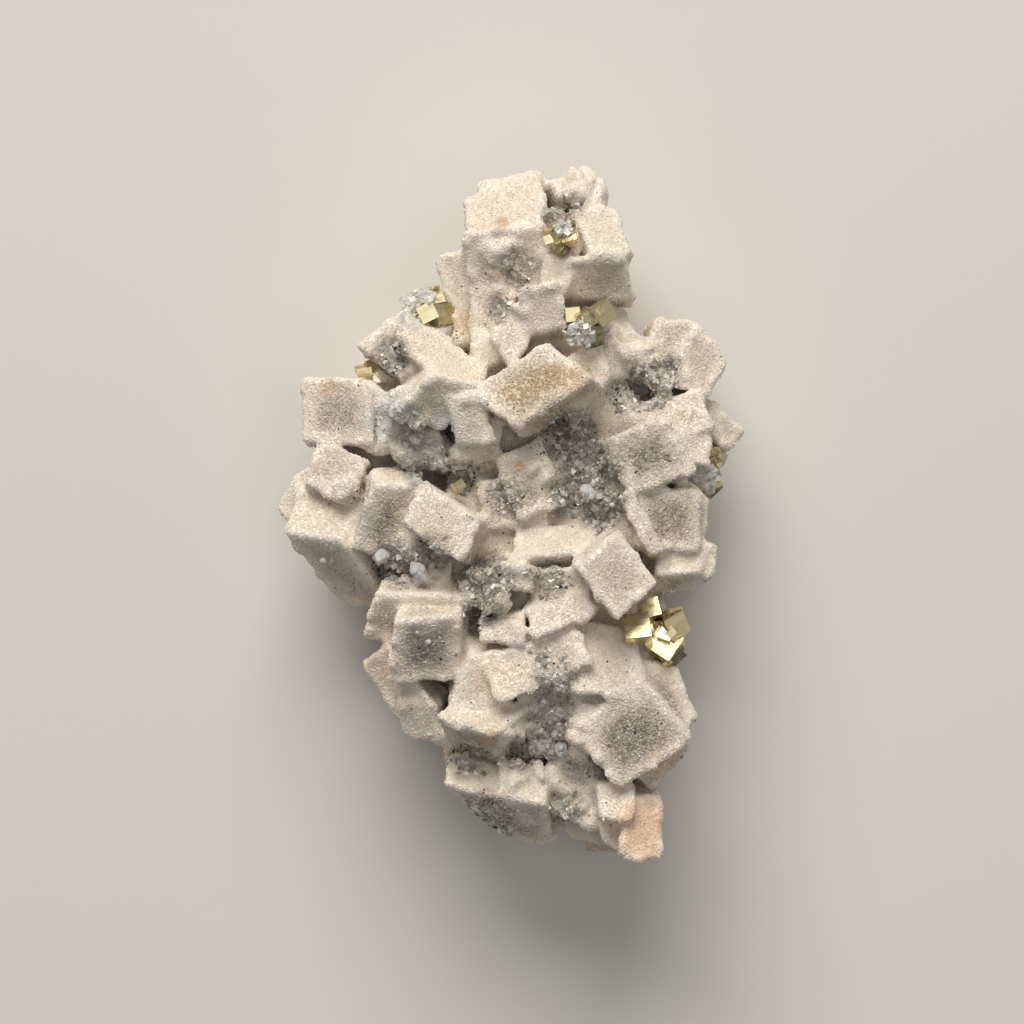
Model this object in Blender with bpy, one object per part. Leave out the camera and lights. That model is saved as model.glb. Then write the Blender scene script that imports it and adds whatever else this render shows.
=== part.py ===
"""A dolomite specimen that lies on its flat back: rhombohedral crystals grown together, with pyrite and quartz.

Lengths are given in millimetres and become metres as each mesh is made. +Z points up from the flat back, +Y runs
towards the crown (the narrow end of the cluster) and +X to the right, seen from above. The origin is the middle of
the cluster's outline, at the level of its back.
"""

import math
import random
from collections import namedtuple

import bmesh
import bpy
from mathutils import Euler, Matrix, Vector
from mathutils.bvhtree import BVHTree

# Driving dimensions, in millimetres
MM = 0.001
GAP = 0.3  # between a pyrite or quartz crystal and the socket that it sits in
LEAN = 0.05  # the crystals lean out from the middle, by this share of their distance from it
BACK_LEVEL = 0.0  # the flat back
BED_WIDEST = 9.0  # height at which the bed under the crystals is widest
BED_WIDEST_SPREAD = 2.5  # how far that height strays, up and down
BED_TOP = 18.5
BED_TOP_SPREAD = 0.8
HUMP_TOP = 26.0  # the bed's raised middle
HUMP_TOP_SPREAD = 1.2
BEYOND = 120.0  # further than the cluster reaches in any direction
SEED = 31

# A rhombohedron has one edge length in every direction and this plane angle at its blunt corner
BLUNT_ANGLE = math.radians(101.9)

# One grown crystal: a corner of its broad face, and its three edges, as x, y, z in millimetres
Crystal = namedtuple("Crystal", "name corner first second third")

CROWN = [
    Crystal("crown_top", (-7.2, 47.0, 22.0), (11.4, 4.5, -0.5), (0.9, -7.5, 6.0), (0.5, -3.0, -12.0)),
    Crystal("crown_top_step", (-4.9, 49.4, 20.6), (8.3, 2.1, -0.3), (1.0, -6.0, 4.5), (0.5, -3.0, -11.0)),
    Crystal("crown_front", (-7.5, 41.8, 29.0), (12.2, 1.0, 0.5), (1.8, -9.3, -3.5), (0.0, -0.5, -14.0)),
    Crystal("crown_left_slab", (-11.3, 38.1, 22.0), (6.0, 1.8, 1.5), (3.0, -13.2, 1.0), (1.5, 0.5, -10.0)),
    Crystal("crown_right_cap", (9.3, 44.9, 27.0), (6.0, 0.5, -2.0), (2.6, -6.9, 4.0), (-1.0, -1.0, -11.0)),
    Crystal("crown_right_back", (10.8, 45.9, 25.0), (3.9, -0.5, -1.5), (2.1, -4.5, 1.5), (-1.0, -1.0, -8.0)),
    Crystal("crown_right_foot", (8.1, 37.4, 31.0), (8.9, 0.3, -1.5), (1.2, -5.7, -4.0), (0.0, 1.0, -10.0)),
    Crystal("crown_spire", (9.0, 50.9, 20.0), (2.1, 1.5, 0.0), (3.3, -3.9, 2.5), (0.0, -2.0, -8.0)),
    Crystal("crown_spire_left", (5.5, 49.8, 21.0), (4.4, 0.9, 0.5), (1.8, -3.0, 2.5), (0.0, -2.0, -8.0)),
    Crystal("crown_saddle", (3.6, 45.5, 26.0), (6.0, -0.6, 0.5), (0.3, -7.5, 2.0), (0.0, 0.0, -14.0)),
    Crystal("crown_column", (5.0, 38.6, 30.0), (3.9, -0.6, 0.5), (-0.6, -5.4, -1.0), (0.0, 0.0, -12.0)),
]

THROAT = [
    Crystal("throat_bulge", (1.4, 33.0, 33.0), (5.7, 1.2, 0.3), (0.8, -6.6, -1.5), (0.0, 0.5, -12.0)),
    Crystal("throat_bulge_side", (0.3, 30.5, 32.0), (3.9, 3.0, 0.5), (3.9, -3.6, -0.5), (0.0, 0.0, -10.0)),
    Crystal("throat_wedge", (-0.9, 32.0, 30.0), (3.3, -5.1, 1.0), (-2.3, -6.0, 1.5), (0.5, 0.5, -10.0)),
    Crystal("throat_pebble", (-5.7, 24.9, 28.0), (3.0, 0.9, 0.5), (0.9, -3.6, 0.0), (0.0, 0.5, -8.0)),
    Crystal("throat_bed", (-6.3, 33.9, 26.0), (6.6, -0.6, 1.0), (0.3, -8.1, 1.0), (0.0, 0.0, -12.0)),
    Crystal("throat_column_top", (14.3, 31.1, 22.0), (3.0, -0.9, -0.5), (0.6, -3.9, 1.5), (-0.5, -0.5, -9.0)),
    Crystal("throat_column_right", (15.2, 27.2, 24.0), (4.5, -0.9, -1.0), (0.9, -4.5, 1.0), (-0.5, -0.5, -9.0)),
    Crystal("throat_column_left", (13.5, 28.1, 26.0), (2.1, -0.3, -0.5), (0.0, -4.2, 1.0), (0.0, 0.0, -8.0)),
    Crystal("throat_column_foot", (14.1, 23.9, 28.0), (4.2, 0.6, -1.5), (0.6, -3.9, -1.0), (0.0, 0.5, -8.0)),
    Crystal("throat_plate", (12.0, 26.9, 30.0), (2.7, -6.9, -0.5), (-5.7, -6.6, 1.5), (0.3, 0.3, -8.0)),
    Crystal("leaning_tile", (-6.2, 17.7, 34.0), (11.3, 7.2, -1.0), (7.2, -5.3, 3.0), (0.8, -0.5, -8.0)),
]

RIGHT_SHOULDER = [
    Crystal("shoulder_upper", (21.5, 29.1, 22.0), (7.5, -1.2, -0.5), (-2.0, -9.0, 2.5), (0.0, -0.5, -11.0)),
    Crystal("shoulder_outer", (28.0, 28.2, 22.5), (4.4, -5.7, -1.0), (-3.6, -6.0, 2.0), (-0.5, 0.0, -11.0)),
    Crystal("shoulder_ridge", (18.3, 15.9, 25.0), (10.2, 2.1, -1.0), (1.5, -5.7, 2.5), (0.0, 0.0, -10.0)),
    Crystal("shoulder_valley", (13.8, 18.2, 26.0), (5.7, -4.2, 1.0), (-0.9, -6.0, -1.5), (0.5, 0.5, -9.0)),
    Crystal("shoulder_button", (28.7, 17.2, 20.0), (2.5, -1.2, -1.0), (0.0, -3.6, 1.5), (0.0, 0.0, -9.0)),
    Crystal("elbow_tip", (31.0, 15.4, 20.0), (4.3, -3.4, -2.0), (-2.6, -2.9, 1.5), (-0.5, 0.0, -8.0)),
    Crystal("elbow_tip_lower", (30.6, 9.5, 16.0), (2.1, -0.9, -1.0), (-0.9, -2.1, 1.0), (-0.5, 0.0, -6.0)),
    Crystal("elbow_step", (24.3, 12.5, 27.0), (5.4, -0.9, -1.5), (-0.3, -4.5, 1.0), (0.0, 0.0, -10.0)),
    Crystal("elbow_step_upper", (27.3, 14.0, 24.0), (3.0, -1.5, -1.5), (-1.5, -3.6, 1.5), (0.0, 0.0, -9.0)),
    Crystal("flank_broad", (13.2, 10.4, 30.0), (9.3, 3.6, -1.0), (5.1, -7.8, 0.5), (0.5, -0.5, -12.0)),
    Crystal("flank_lower", (19.2, 3.5, 29.0), (9.3, -0.6, -2.0), (-0.6, -9.0, 1.0), (0.0, 0.0, -12.0)),
    Crystal("flank_edge", (25.2, 5.0, 26.0), (4.4, -3.3, -1.5), (-1.2, -7.5, 1.0), (-0.5, 0.0, -11.0)),
    Crystal("flank_blade", (15.9, 2.1, 32.0), (2.1, 0.6, -0.5), (4.8, -8.7, 0.5), (0.5, 0.5, -9.0)),
    Crystal("hip_block", (21.6, -9.6, 30.4), (6.8, 0.5, -2.5), (0.6, 4.8, -2.6), (0.5, -3.1, -8.0)),
    Crystal("hip_tip", (27.2, -3.9, 26.4), (3.6, -1.5, -1.5), (-0.6, -4.8, 1.0), (-0.5, 0.0, -8.0)),
]

LEFT_SHOULDER = [
    Crystal("wing_tile", (-23.3, 24.9, 25.0), (7.2, 5.6, -1.0), (6.8, -4.9, 3.0), (1.0, -1.0, -11.0)),
    Crystal("wing_ridge", (-15.8, 29.8, 26.6), (11.9, -8.6, 2.4), (-1.5, -5.1, 4.0), (0.0, -1.0, -11.0)),
    Crystal("wing_brow", (-11.9, 20.1, 36.0), (7.8, -1.4, -2.0), (-6.0, -6.2, -3.0), (-1.2, 3.8, -9.0)),
    Crystal("ear_block", (-31.5, 20.2, 22.6), (10.7, -0.7, 1.4), (0.1, -9.6, 1.2), (0.2, 0.5, -9.0)),
    Crystal("ear_lower", (-28.8, 10.7, 24.6), (6.9, -3.3, 1.5), (-2.1, -6.6, 1.5), (-0.3, 0.3, -10.0)),
    Crystal("ear_ball", (-27.0, 4.1, 29.0), (2.3, 0.8, 0.0), (0.8, -2.3, 0.0), (0.0, 0.0, -3.0)),
    Crystal("cheek_block", (-34.3, -3.0, 26.4), (9.0, -1.5, 2.6), (3.3, 8.7, -6.0), (6.7, -10.8, -7.6)),
    Crystal("cheek_lump_outer", (-35.2, 1.4, 20.0), (2.2, 3.2, 1.0), (1.8, -3.6, 1.5), (2.5, -0.5, -6.0)),
    Crystal("cheek_lump_upper", (-33.3, 4.4, 21.0), (3.3, 2.4, 1.0), (1.5, -3.0, 1.5), (1.5, 0.0, -6.0)),
    Crystal("left_prism", (-20.3, 4.1, 33.0), (6.9, -0.3, -0.5), (-3.3, -9.9, -3.0), (-1.5, 2.7, -8.0)),
    Crystal("left_apron", (-16.8, 1.7, 31.0), (9.0, -4.5, 0.0), (-2.4, -9.0, -2.0), (0.0, 0.0, -10.0)),
    Crystal("left_tile", (-15.9, -2.1, 37.0), (8.6, -5.4, 0.5), (2.4, 6.3, -2.0), (0.6, -0.3, -9.0)),
    Crystal("left_vein", (-20.7, 18.5, 26.0), (3.6, -1.2, 1.5), (1.2, -8.7, 1.0), (0.0, 0.0, -9.0)),
    Crystal("left_vein_lower", (-18.3, 12.9, 28.0), (7.5, -1.2, 1.0), (0.6, -5.1, -0.5), (0.0, 0.0, -9.0)),
    Crystal("collar_round", (-9.5, 16.7, 34.0), (5.1, 0.6, 0.5), (1.5, -6.9, -1.5), (0.0, 0.5, -8.0)),
    Crystal("collar_slab", (-7.2, 12.2, 31.0), (5.7, 2.1, -0.5), (-0.9, -5.1, -1.0), (0.0, 0.5, -8.0)),
    Crystal("collar_slab_lower", (-9.3, 9.5, 29.0), (6.9, 2.4, -0.5), (0.6, -3.3, -0.5), (0.0, 0.5, -8.0)),
]

MIDDLE = [
    Crystal("heart_block", (-2.3, 7.8, 30.0), (6.6, 3.0, -0.5), (3.3, -9.3, 1.0), (0.0, 0.0, -11.0)),
    Crystal("heart_block_left", (-5.1, 4.4, 29.0), (9.0, 0.9, 0.5), (1.2, -7.2, -1.0), (0.0, 0.0, -10.0)),
    Crystal("centre_ridge", (0.0, -7.4, 33.0), (12.0, 1.5, -1.0), (1.2, 4.5, -4.0), (0.3, -3.3, -8.0)),
    Crystal("centre_tile", (9.8, -8.6, 40.0), (5.9, 5.4, -1.5), (5.7, -7.5, 0.5), (-0.5, 0.8, -8.0)),
    Crystal("centre_slope", (2.7, -8.9, 33.0), (7.2, 0.3, 0.0), (0.6, -6.0, -1.0), (0.0, 0.0, -9.0)),
    Crystal("centre_left", (-7.8, -10.4, 34.0), (5.1, 1.8, -0.5), (1.2, -3.6, 0.5), (0.0, 0.5, -9.0)),
    Crystal("centre_step", (-2.1, -8.0, 35.0), (5.4, -0.6, -0.5), (-0.3, -3.3, -0.5), (0.0, 0.5, -8.0)),
    Crystal("centre_knob", (-3.9, -11.9, 36.5), (3.0, 0.3, 0.0), (0.3, -3.0, 0.0), (0.0, 0.0, -6.0)),
    Crystal("centre_sill", (-4.5, -15.8, 35.0), (6.0, -0.6, 0.5), (0.3, -3.6, 1.0), (0.0, 1.0, -8.0)),
    Crystal("centre_brow", (2.4, -15.2, 35.5), (8.7, 3.9, -1.0), (1.2, -3.9, 1.5), (0.0, 1.0, -8.0)),
]

WAIST = [
    Crystal("waist_ledge", (-20.3, -12.2, 33.0), (12.5, -0.6, 0.5), (-1.8, -6.9, -4.0), (1.5, 3.0, -8.0)),
    Crystal("waist_prism", (-17.4, -16.1, 37.0), (9.9, 0.5, -1.0), (-0.6, -9.3, -4.0), (0.9, 2.7, -9.0)),
    Crystal("waist_wedge", (-18.5, -19.7, 30.0), (-3.8, -3.6, -4.0), (6.8, -9.3, 1.0), (0.9, 0.6, -10.0)),
    Crystal("waist_wedge_foot", (-16.9, -27.5, 30.0), (5.6, -1.5, 0.5), (0.6, -5.7, -2.5), (0.5, 1.0, -9.0)),
    Crystal("belt_slab", (-6.2, -21.5, 35.0), (7.5, 0.9, 0.5), (-3.0, -7.8, -0.5), (-0.6, 2.0, -9.0)),
    Crystal("belt_block", (-4.4, -23.0, 35.5), (13.5, 6.3, -1.0), (2.7, -5.6, 2.6), (-0.5, 1.5, -9.0)),
    Crystal("belt_slope", (0.6, -23.6, 36.0), (9.0, -1.5, -0.5), (1.2, -8.6, -4.0), (0.0, 0.0, -10.0)),
    Crystal("belt_right", (7.2, -16.4, 33.4), (11.6, -1.4, -2.4), (-0.4, -10.0, 4.2), (0.0, 0.0, -11.0)),
    Crystal("belt_floor", (1.6, -26.4, 32.0), (8.6, -1.4, 0.6), (1.2, -9.6, -1.6), (0.0, 0.0, -10.0)),
]

FOOT = [
    Crystal("foot_tile", (-11.3, -30.3, 35.5), (5.7, 4.1, -3.6), (8.4, -3.0, 2.4), (0.7, -4.6, -8.0)),
    Crystal("foot_bed", (-9.9, -33.6, 27.0), (13.8, -1.8, 1.5), (0.6, -5.1, -1.0), (0.0, 0.0, -10.0)),
    Crystal("foot_left", (-10.2, -40.6, 31.5), (9.6, -2.6, 1.0), (0.9, 4.6, -3.6), (6.2, -8.8, -9.0)),
    Crystal("foot_left_inner", (-1.8, -42.2, 33.2), (6.9, -1.5, -0.6), (0.3, 5.4, -3.2), (0.4, -8.4, -8.6)),
    Crystal("foot_broad", (8.6, -32.6, 35.5), (10.6, 7.4, -0.5), (7.6, -8.8, 0.6), (-0.4, 6.2, -10.0)),
    Crystal("foot_broad_rim", (19.0, -22.4, 31.0), (5.2, -0.4, -1.8), (3.5, -8.4, 1.4), (-0.5, -0.5, -10.0)),
    Crystal("foot_broad_heel", (21.0, -41.3, 32.0), (5.6, 6.4, 0.5), (-6.0, 4.5, 1.0), (-0.5, 0.5, -11.0)),
    Crystal("toe_upper", (12.6, -40.6, 33.6), (5.0, 0.6, -0.6), (0.6, -5.2, 2.6), (0.0, -0.6, -12.0)),
    Crystal("toe_block", (16.2, -42.6, 33.8), (5.9, 0.2, -2.4), (0.3, -9.2, 1.6), (-0.3, 0.5, -12.0)),
    Crystal("toe_tip", (13.4, -45.2, 32.4), (5.4, -2.4, 0.4), (0.8, -4.2, -1.8), (0.0, 0.5, -11.0)),
    Crystal("foot_grey_upper", (5.6, -36.4, 29.5), (6.6, -1.4, 0.6), (0.6, -8.6, -0.6), (0.0, 0.0, -10.0)),
    Crystal("foot_grey_lower", (7.6, -43.6, 27.4), (6.9, -1.8, 0.4), (0.9, -4.9, -2.6), (0.0, 0.0, -9.0)),
]

GROWN = CROWN + THROAT + RIGHT_SHOULDER + LEFT_SHOULDER + MIDDLE + WAIST + FOOT

# The bed that the crystals grew on, as x, y going anticlockwise, and its raised middle
BED_OUTLINE = [
    (-4.1, 44.4), (-7.4, 37.7), (-6.9, 31.7), (-9.0, 24.9), (-13.8, 26.4), (-18.6, 24.2), (-19.8, 17.4),
    (-27.3, 16.7), (-26.6, 12.2), (-25.8, 6.2), (-30.0, 1.7), (-29.1, -2.9), (-23.1, -10.4), (-18.0, -11.9),
    (-15.3, -18.6), (-18.0, -23.6), (-13.1, -30.6), (-6.3, -34.4), (-5.6, -40.4), (-0.3, -45.2), (5.4, -45.6),
    (13.2, -46.4), (18.6, -47.9), (18.0, -38.1), (22.5, -33.6), (24.0, -29.1), (20.7, -23.1), (21.5, -19.4),
    (21.5, -11.9), (26.7, -7.7), (25.2, -4.4), (26.0, 1.7), (28.2, 6.2), (30.0, 11.9), (26.0, 17.0),
    (28.2, 21.5), (26.7, 24.2), (22.2, 24.9), (16.5, 24.9), (13.2, 28.7), (14.4, 33.9), (14.1, 39.9),
    (12.5, 44.4), (7.2, 44.4), (2.7, 47.4),
]
HUMP_OUTLINE = [
    (-6.3, 27.2), (-9.3, 19.7), (-10.8, 6.2), (-13.8, -7.4), (-12.3, -19.4), (-6.3, -34.4), (4.2, -40.4),
    (13.2, -28.4), (20.7, -13.4), (19.2, -1.4), (20.7, 16.7), (13.2, 27.2),
]
BACK_INSET = 3.6  # how far the flat back stands in from the bed's widest ring
TOP_INSET = 1.2
HUMP_INSET = 2.0

# Small crystals on the sides of the bed, in two rows
SIDE_CRYSTALS = 46
SIDE_SPREAD = 0.3  # how far each strays along the bed, as a share of the spacing
SIDE_LEVELS = (5.0, 12.5)
SIDE_LEVEL_SPREAD = 1.0
SIDE_EDGE = (5.0, 8.0)
SIDE_PROUD = (0.8, 2.8)  # how far each stands out of the bed

# Druse in the hollows between the big crystals: a disc's centre x, y, its radius and its number of crystals
Druse = namedtuple("Druse", "name centre radius count")
DRUSE = [
    Druse("centre_hollow", (10.0, 6.5), 6.5, 22),
    Druse("shoulder_hollow", (19.5, 20.0), 5.0, 14),
    Druse("left_vein", (-15.0, 11.5), 5.5, 16),
    Druse("left_prism_foot", (-15.5, -8.0), 4.5, 9),
    Druse("middle_hollow", (-1.0, -11.5), 4.5, 8),
    Druse("belt_hollow", (5.5, -29.5), 5.5, 14),
    Druse("foot_hollow", (0.5, -36.0), 5.0, 10),
    Druse("toe_hollow", (9.5, -43.0), 4.5, 8),
    Druse("crown_tip", (10.0, 48.5), 3.2, 8),
    Druse("crown_hollow", (-1.0, 36.5), 3.5, 6),
]
DRUSE_EDGE = (1.3, 2.6)
DRUSE_LIFT = 0.1  # how far each crystal's middle stands out of the surface

# A pyrite cube: its centre, edge length, and turns about X, Y and Z in degrees
Cube = namedtuple("Cube", "centre edge turn")
PYRITE = {
    "pyrite_crown": [
        Cube((6.6, 41.4, 30.4), 2.6, (20, 25, 10)),
        Cube((8.4, 40.6, 30.9), 2.3, (50, 10, 40)),
        Cube((7.4, 39.4, 30.8), 2.0, (15, 50, 30)),
        Cube((8.6, 42.4, 30.0), 1.7, (35, 35, 0)),
    ],
    "pyrite_throat": [
        Cube((9.0, 29.3, 31.6), 2.2, (25, 20, 5)),
        Cube((10.9, 28.6, 31.7), 2.8, (40, 30, 25)),
        Cube((13.2, 29.3, 30.6), 3.4, (20, 35, 35)),
        Cube((11.6, 26.2, 31.4), 3.2, (30, 50, 10)),
        Cube((9.6, 26.4, 31.4), 2.4, (60, 15, 20)),
    ],
    "pyrite_left_shoulder": [
        Cube((-12.6, 30.0, 26.0), 2.5, (8, -14, 32)),
        Cube((-14.9, 31.2, 21.6), 2.7, (35, 20, 15)),
        Cube((-12.1, 31.6, 21.8), 3.3, (50, 30, 20)),
        Cube((-10.7, 29.4, 21.8), 3.2, (25, 45, 10)),
        Cube((-13.6, 30.4, 23.0), 3.2, (15, 60, 40)),
    ],
    "pyrite_left_edge": [
        Cube((-22.2, 20.8, 20.0), 2.2, (10, 20, 12)),
        Cube((-21.2, 21.8, 19.4), 1.8, (40, 20, 30)),
    ],
    "pyrite_right": [
        Cube((29.0, 6.2, 21.0), 3.3, (30, 20, 25)),
        Cube((30.0, 7.9, 19.6), 2.6, (50, 10, 15)),
        Cube((29.7, 4.0, 19.4), 2.6, (15, 45, 35)),
        Cube((28.0, 4.8, 21.4), 2.6, (60, 30, 5)),
    ],
    "pyrite_flank": [
        Cube((19.2, -17.2, 32.4), 3.6, (18, 8, 12)),
        Cube((22.0, -19.0, 30.6), 4.9, (38, 24, 28)),
        Cube((21.8, -15.6, 29.6), 4.1, (55, 15, 10)),
        Cube((23.3, -20.9, 28.6), 3.0, (20, 55, 40)),
        Cube((20.4, -14.6, 30.6), 2.8, (30, 40, 20)),
    ],
    "pyrite_seam": [
        Cube((-8.0, 3.8, 29.6), 1.5, (20, 30, 35)),
    ],
}

# A quartz crystal: its middle, radius, length of prism, and turns about X, Y and Z in degrees
Quartz = namedtuple("Quartz", "centre radius prism turn")
POINT = 1.1  # height of a quartz crystal's point for each millimetre of radius
QUARTZ = {
    "quartz_left": Quartz((-19.4, -6.4, 28.2), 1.45, 1.7, (25, -20, 10)),
    "quartz_lower": Quartz((-13.8, -8.9, 32.6), 1.2, 1.5, (70, 25, 30)),
    "quartz_centre": Quartz((11.3, 2.9, 29.4), 1.1, 1.4, (35, 40, 0)),
    "quartz_foot": Quartz((7.4, -35.4, 31.2), 1.0, 1.3, (60, -35, 20)),
}


def rhomb_edges(lengths, turn):
    """The three edges at a rhombohedron's polar corner, evenly about its own axis, and then turned."""
    lean = math.asin(math.sqrt((1 - math.cos(BLUNT_ANGLE)) / 1.5))
    edges = []
    for k, length in enumerate(lengths):
        about = math.radians(120 * k)
        edge = Vector((math.sin(lean) * math.cos(about), math.sin(lean) * math.sin(about), math.cos(lean)))
        edges.append(turn @ edge * length)
    return edges


def add_block(bm, corner, edges):
    """Adds to bm the closed block that three edges span from a corner."""
    corner = Vector(corner)
    first, second, third = (Vector(e) for e in edges)
    if first.cross(second).dot(third) < 0:
        first, second = second, first
    base = [corner, corner + first, corner + first + second, corner + second]
    low = [bm.verts.new(p * MM) for p in base]
    high = [bm.verts.new((p + third) * MM) for p in base]
    bm.faces.new(reversed(low))
    bm.faces.new(high)
    for k in range(4):
        n = (k + 1) % 4
        bm.faces.new((low[k], low[n], high[n], high[k]))


def turned(degrees):
    return Euler([math.radians(a) for a in degrees]).to_matrix()


def random_turn(rng):
    return Euler([rng.uniform(0, 2 * math.pi) for _ in range(3)]).to_matrix()


def new_object(name, bm):
    mesh = bpy.data.meshes.new(name)
    bm.to_mesh(mesh)
    bm.free()
    obj = bpy.data.objects.new(name, mesh)
    bpy.context.scene.collection.objects.link(obj)
    return obj


def block_object(name, corner, edges):
    bm = bmesh.new()
    add_block(bm, corner, edges)
    return new_object(name, bm)


def crystal_object(name, centre, edges):
    """A block about its centre."""
    return block_object(name, Vector(centre) - (edges[0] + edges[1] + edges[2]) / 2, edges)


def combine(target, tools, operation):
    """Applies one Boolean of all the tools to the target, and removes the tools.

    The crystals meet at so many shallow angles that the exact solver leaves edges shared by four faces.
    """
    group = bpy.data.collections.new("tools")
    for tool in tools:
        group.objects.link(tool)
    modifier = target.modifiers.new(operation.lower(), "BOOLEAN")
    modifier.operand_type = "COLLECTION"
    modifier.collection = group
    modifier.operation = operation
    modifier.solver = "MANIFOLD"
    bpy.context.view_layer.update()
    graph = bpy.context.evaluated_depsgraph_get()
    made = bpy.data.meshes.new_from_object(target.evaluated_get(graph))
    target.modifiers.clear()
    target.data = made
    for tool in tools:
        bpy.data.objects.remove(tool)
    bpy.data.collections.remove(group)


def keep_outer_shell(body):
    """Drops every shell but the largest: the closed voids left between crystals, and crumbs cut loose."""
    bm = bmesh.new()
    bm.from_mesh(body.data)
    waiting, shells = set(bm.verts), []
    while waiting:
        shell, edge_of_shell = set(), [waiting.pop()]
        while edge_of_shell:
            vertex = edge_of_shell.pop()
            shell.add(vertex)
            near = {edge.other_vert(vertex) for edge in vertex.link_edges} & waiting
            waiting -= near
            edge_of_shell.extend(near)
        shells.append(shell)
    largest = max(shells, key=len)
    loose = [vertex for shell in shells if shell is not largest for vertex in shell]
    bmesh.ops.delete(bm, geom=loose, context="VERTS")
    bm.to_mesh(body.data)
    bm.free()


def inset(outline, distance):
    """The outline moved inwards at each corner, along the mean of its two sides' normals."""
    moved = []
    for k, point in enumerate(outline):
        before = Vector(point) - Vector(outline[k - 1])
        after = Vector(outline[(k + 1) % len(outline)]) - Vector(point)
        along = (before.normalized() + after.normalized()).normalized()
        moved.append(Vector(point) + Vector((-along.y, along.x)) * distance)
    return moved


def lofted(name, rings):
    """A closed body through rings of points, each ring with the same number of points, lowest first."""
    bm = bmesh.new()
    loops = [[bm.verts.new(Vector(p) * MM) for p in ring] for ring in rings]
    for low, high in zip(loops, loops[1:]):
        for k in range(len(low)):
            n = (k + 1) % len(low)
            bm.faces.new((low[k], low[n], high[n], high[k]))
    bm.faces.new(reversed(loops[0]))
    bm.faces.new(loops[-1])
    bmesh.ops.triangulate(bm, faces=bm.faces[:])
    return new_object(name, bm)


def make_bed(rng):
    """The bed: a flat back, a wider broken waist and an uneven top."""
    back = [(p.x, p.y, BACK_LEVEL) for p in inset(BED_OUTLINE, BACK_INSET)]
    widest = [(x, y, BED_WIDEST + rng.uniform(-1, 1) * BED_WIDEST_SPREAD) for x, y in BED_OUTLINE]
    top = [(p.x, p.y, BED_TOP + rng.uniform(-1, 1) * BED_TOP_SPREAD) for p in inset(BED_OUTLINE, TOP_INSET)]
    return lofted("bed", [back, widest, top])


def make_hump(rng):
    foot = [(x, y, BED_WIDEST) for x, y in HUMP_OUTLINE]
    top = [(p.x, p.y, HUMP_TOP + rng.uniform(-1, 1) * HUMP_TOP_SPREAD) for p in inset(HUMP_OUTLINE, HUMP_INSET)]
    return lofted("hump", [foot, top])


def along_outline(outline, share):
    """The point at that share of the closed outline's length, and the unit normal that points out."""
    points = [Vector(p) for p in outline]
    sides = list(zip(points, points[1:] + points[:1]))
    left = share * sum((b - a).length for a, b in sides)
    for a, b in sides:
        length = (b - a).length
        if left <= length:
            along = (b - a) / length
            return a + along * left, Vector((along.y, -along.x))
        left -= length
    return points[0], Vector((0, -1))


def grown_crystals():
    """The crystals of the front, whose third edges run down into the bed and in towards its middle."""
    made = []
    for crystal in GROWN:
        x, y, _ = crystal.corner
        third = Vector(crystal.third) - Vector((x, y, 0)) * LEAN
        made.append(block_object(crystal.name, crystal.corner, [crystal.first, crystal.second, third]))
    return made


def side_crystals(rng):
    """Crystals on the bed's sides, each standing a little proud of it."""
    made = []
    for k in range(SIDE_CRYSTALS):
        share = (k + rng.uniform(-1, 1) * SIDE_SPREAD) / SIDE_CRYSTALS % 1.0
        point, out = along_outline(BED_OUTLINE, share)
        level = SIDE_LEVELS[k % len(SIDE_LEVELS)] + rng.uniform(-1, 1) * SIDE_LEVEL_SPREAD
        edges = rhomb_edges([rng.uniform(*SIDE_EDGE) for _ in range(3)], random_turn(rng))
        reach = sum(abs(edge.xy.dot(out)) for edge in edges) / 2
        middle = point + out * (rng.uniform(*SIDE_PROUD) - reach)
        made.append(crystal_object(f"side_{k}", (middle.x, middle.y, level), edges))
    return made


def below_back():
    """A block of everything below the flat back."""
    edges = [(2 * BEYOND, 0, 0), (0, 2 * BEYOND, 0), (0, 0, -BEYOND)]
    return block_object("below_back", (-BEYOND, -BEYOND, BACK_LEVEL), edges)


def druse_crystals(body, rng):
    """Small crystals half sunk in the surface of the hollows, found by looking straight down on the body."""
    bm = bmesh.new()
    bm.from_mesh(body.data)
    surface = BVHTree.FromBMesh(bm)
    bm.free()
    made = []
    for patch in DRUSE:
        for k in range(patch.count):
            angle, far = rng.uniform(0, 2 * math.pi), patch.radius * math.sqrt(rng.random())
            x = patch.centre[0] + far * math.cos(angle)
            y = patch.centre[1] + far * math.sin(angle)
            hit, normal, _, _ = surface.ray_cast(Vector((x, y, BEYOND)) * MM, Vector((0, 0, -1)))
            edges = rhomb_edges([rng.uniform(*DRUSE_EDGE) for _ in range(3)], random_turn(rng))
            if hit is None:
                continue
            made.append(crystal_object(f"druse_{patch.name}_{k}", hit / MM + normal * DRUSE_LIFT, edges))
    return made


def cube_object(name, cube, grow=0.0):
    edge = cube.edge + 2 * grow
    edges = [turned(cube.turn) @ (Vector(axis) * edge) for axis in ((1, 0, 0), (0, 1, 0), (0, 0, 1))]
    return crystal_object(name, cube.centre, edges)


def pyrite_group(name, cubes, grow=0.0):
    """The intergrown cubes of one pyrite group as one solid, pushed out by grow for its socket."""
    group = cube_object(name, cubes[0], grow)
    rest = [cube_object(f"{name}_{k}", cube, grow) for k, cube in enumerate(cubes[1:])]
    if rest:
        combine(group, rest, "UNION")
    return group


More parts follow.
